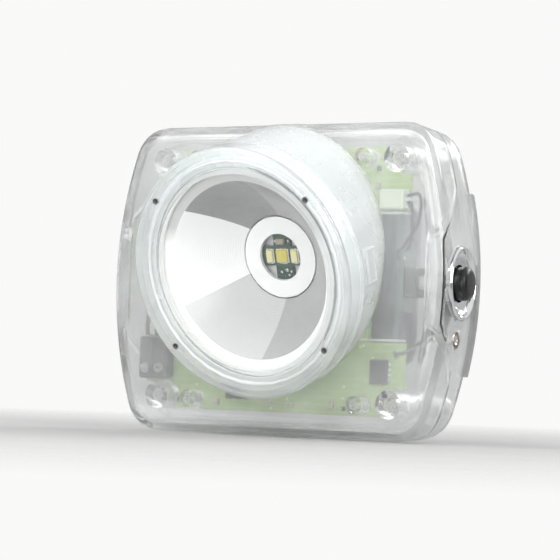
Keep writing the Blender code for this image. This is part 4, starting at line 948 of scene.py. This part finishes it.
def floor_finish():
    """A pale sheet that fades into the backdrop, so no edge of it crosses the picture."""
    material, tree, shader = start_finish("pale floor", 0.7)
    mottle = spread(tree, grain(tree, place(tree), 0.02, 5), 0, 1)
    tree.links.new(mix_colours(tree, mottle, (0.47, 0.47, 0.468), (0.49, 0.49, 0.488)),
                   shader.inputs["Base Color"])
    away = tree.nodes.new("ShaderNodeVectorMath")
    away.operation = "LENGTH"
    tree.links.new(place(tree), away.inputs[0])
    fade = spread(tree, away.outputs["Value"], 0, 1, FADE_START, FADE_END)
    clear = tree.nodes.new("ShaderNodeBsdfTransparent")
    either = tree.nodes.new("ShaderNodeMixShader")
    tree.links.new(fade, either.inputs["Fac"])
    tree.links.new(shader.outputs[0], either.inputs[1])
    tree.links.new(clear.outputs[0], either.inputs[2])
    tree.links.new(either.outputs[0], tree.nodes["Material Output"].inputs["Surface"])
    return material


floor.data.materials.append(floor_finish())


def studio_world():
    """An even tone for the camera, and for everything else light that is strongest overhead."""
    world = bpy.data.worlds.new("studio")
    bpy.context.scene.world = world
    world.use_nodes = True
    tree = world.node_tree
    backdrop = tree.nodes["Background"]
    backdrop.inputs["Color"].default_value = (0.95, 0.95, 0.945, 1)
    around = tree.nodes.new("ShaderNodeBackground")
    direction = tree.nodes.new("ShaderNodeTexCoord").outputs["Generated"]
    split = tree.nodes.new("ShaderNodeSeparateXYZ")
    tree.links.new(direction, split.inputs[0])
    overhead = spread(tree, split.outputs["Z"], 0.50, 1.10, -0.1, 0.8)
    side = sum_up(tree, "ABSOLUTE", split.outputs["X"])
    dim = spread(tree, side, 1.0, 0.45, 0.50, 0.95)
    tree.links.new(sum_up(tree, "MULTIPLY", overhead, dim), around.inputs["Strength"])
    rays = tree.nodes.new("ShaderNodeLightPath")
    either = tree.nodes.new("ShaderNodeMixShader")
    tree.links.new(rays.outputs["Is Camera Ray"], either.inputs["Fac"])
    tree.links.new(around.outputs[0], either.inputs[1])
    tree.links.new(backdrop.outputs[0], either.inputs[2])
    tree.links.new(either.outputs[0], tree.nodes["World Output"].inputs["Surface"])


studio_world()
print("floor at", round(floor_height * 1000, 1), "mm")

# %% [markdown]
# ## Lamps
# One wide soft box stands high in front on the left, a second looks straight into the bowl, a third
# fills from the button's side, and a fourth behind draws bright lines along the cover's edges. All
# are large for their distance, so their shadows are soft.

# %% Soft boxes
def soft_box(name, place_at, width, height, power):
    """An area lamp that faces the lamp's middle."""
    light = bpy.data.lights.new(name, "AREA")
    light.shape = "RECTANGLE"
    light.size, light.size_y = width, height
    light.energy = power
    lamp = bpy.data.objects.new(name, light)
    lamp.location = place_at
    lamp.rotation_euler = (-Vector(place_at)).to_track_quat("-Z", "Y").to_euler()
    bpy.context.scene.collection.objects.link(lamp)
    return lamp


soft_box("key soft box", (-0.35, -0.55, 0.75), 0.6, 0.6, 3.4)
soft_box("front soft box", (0.20, -0.90, 0.05), 0.6, 0.6, 3.5)
soft_box("side soft box", (0.75, -0.35, 0.30), 0.35, 0.6, 2.8)
soft_box("rear soft box", (0.25, 0.65, 0.45), 0.6, 0.3, 3.0)

# %% [markdown]
# ## Camera
# The camera stands to the button's side, a touch below the lamp's middle, and leans a little, as a
# person's hand does. It stays 0.53 m away, which sets the perspective, and a long lens fills the
# frame.

# %% Camera
VIEW_SIDE = math.radians(33.8)
VIEW_RISE = math.radians(-2.2)
VIEW_LEAN = math.radians(2.2)
VIEW_DISTANCE = 0.527
VIEW_LENS = 165

aim = (model_box[0] + model_box[1]) / 2
away = Vector((math.sin(VIEW_SIDE) * math.cos(VIEW_RISE), -math.cos(VIEW_SIDE) * math.cos(VIEW_RISE),
               math.sin(VIEW_RISE)))
camera = bpy.data.objects.new("camera", bpy.data.cameras.new("camera"))
camera.location = aim + away * VIEW_DISTANCE
looking = (-away).to_track_quat("-Z", "Y").to_matrix().to_4x4()
camera.rotation_euler = (looking @ Matrix.Rotation(VIEW_LEAN, 4, "Z")).to_euler()
camera.data.lens = VIEW_LENS
bpy.context.scene.collection.objects.link(camera)
bpy.context.scene.camera = camera
bpy.context.scene.view_settings.view_transform = "Standard"
print("camera at", [round(value, 3) for value in camera.location])
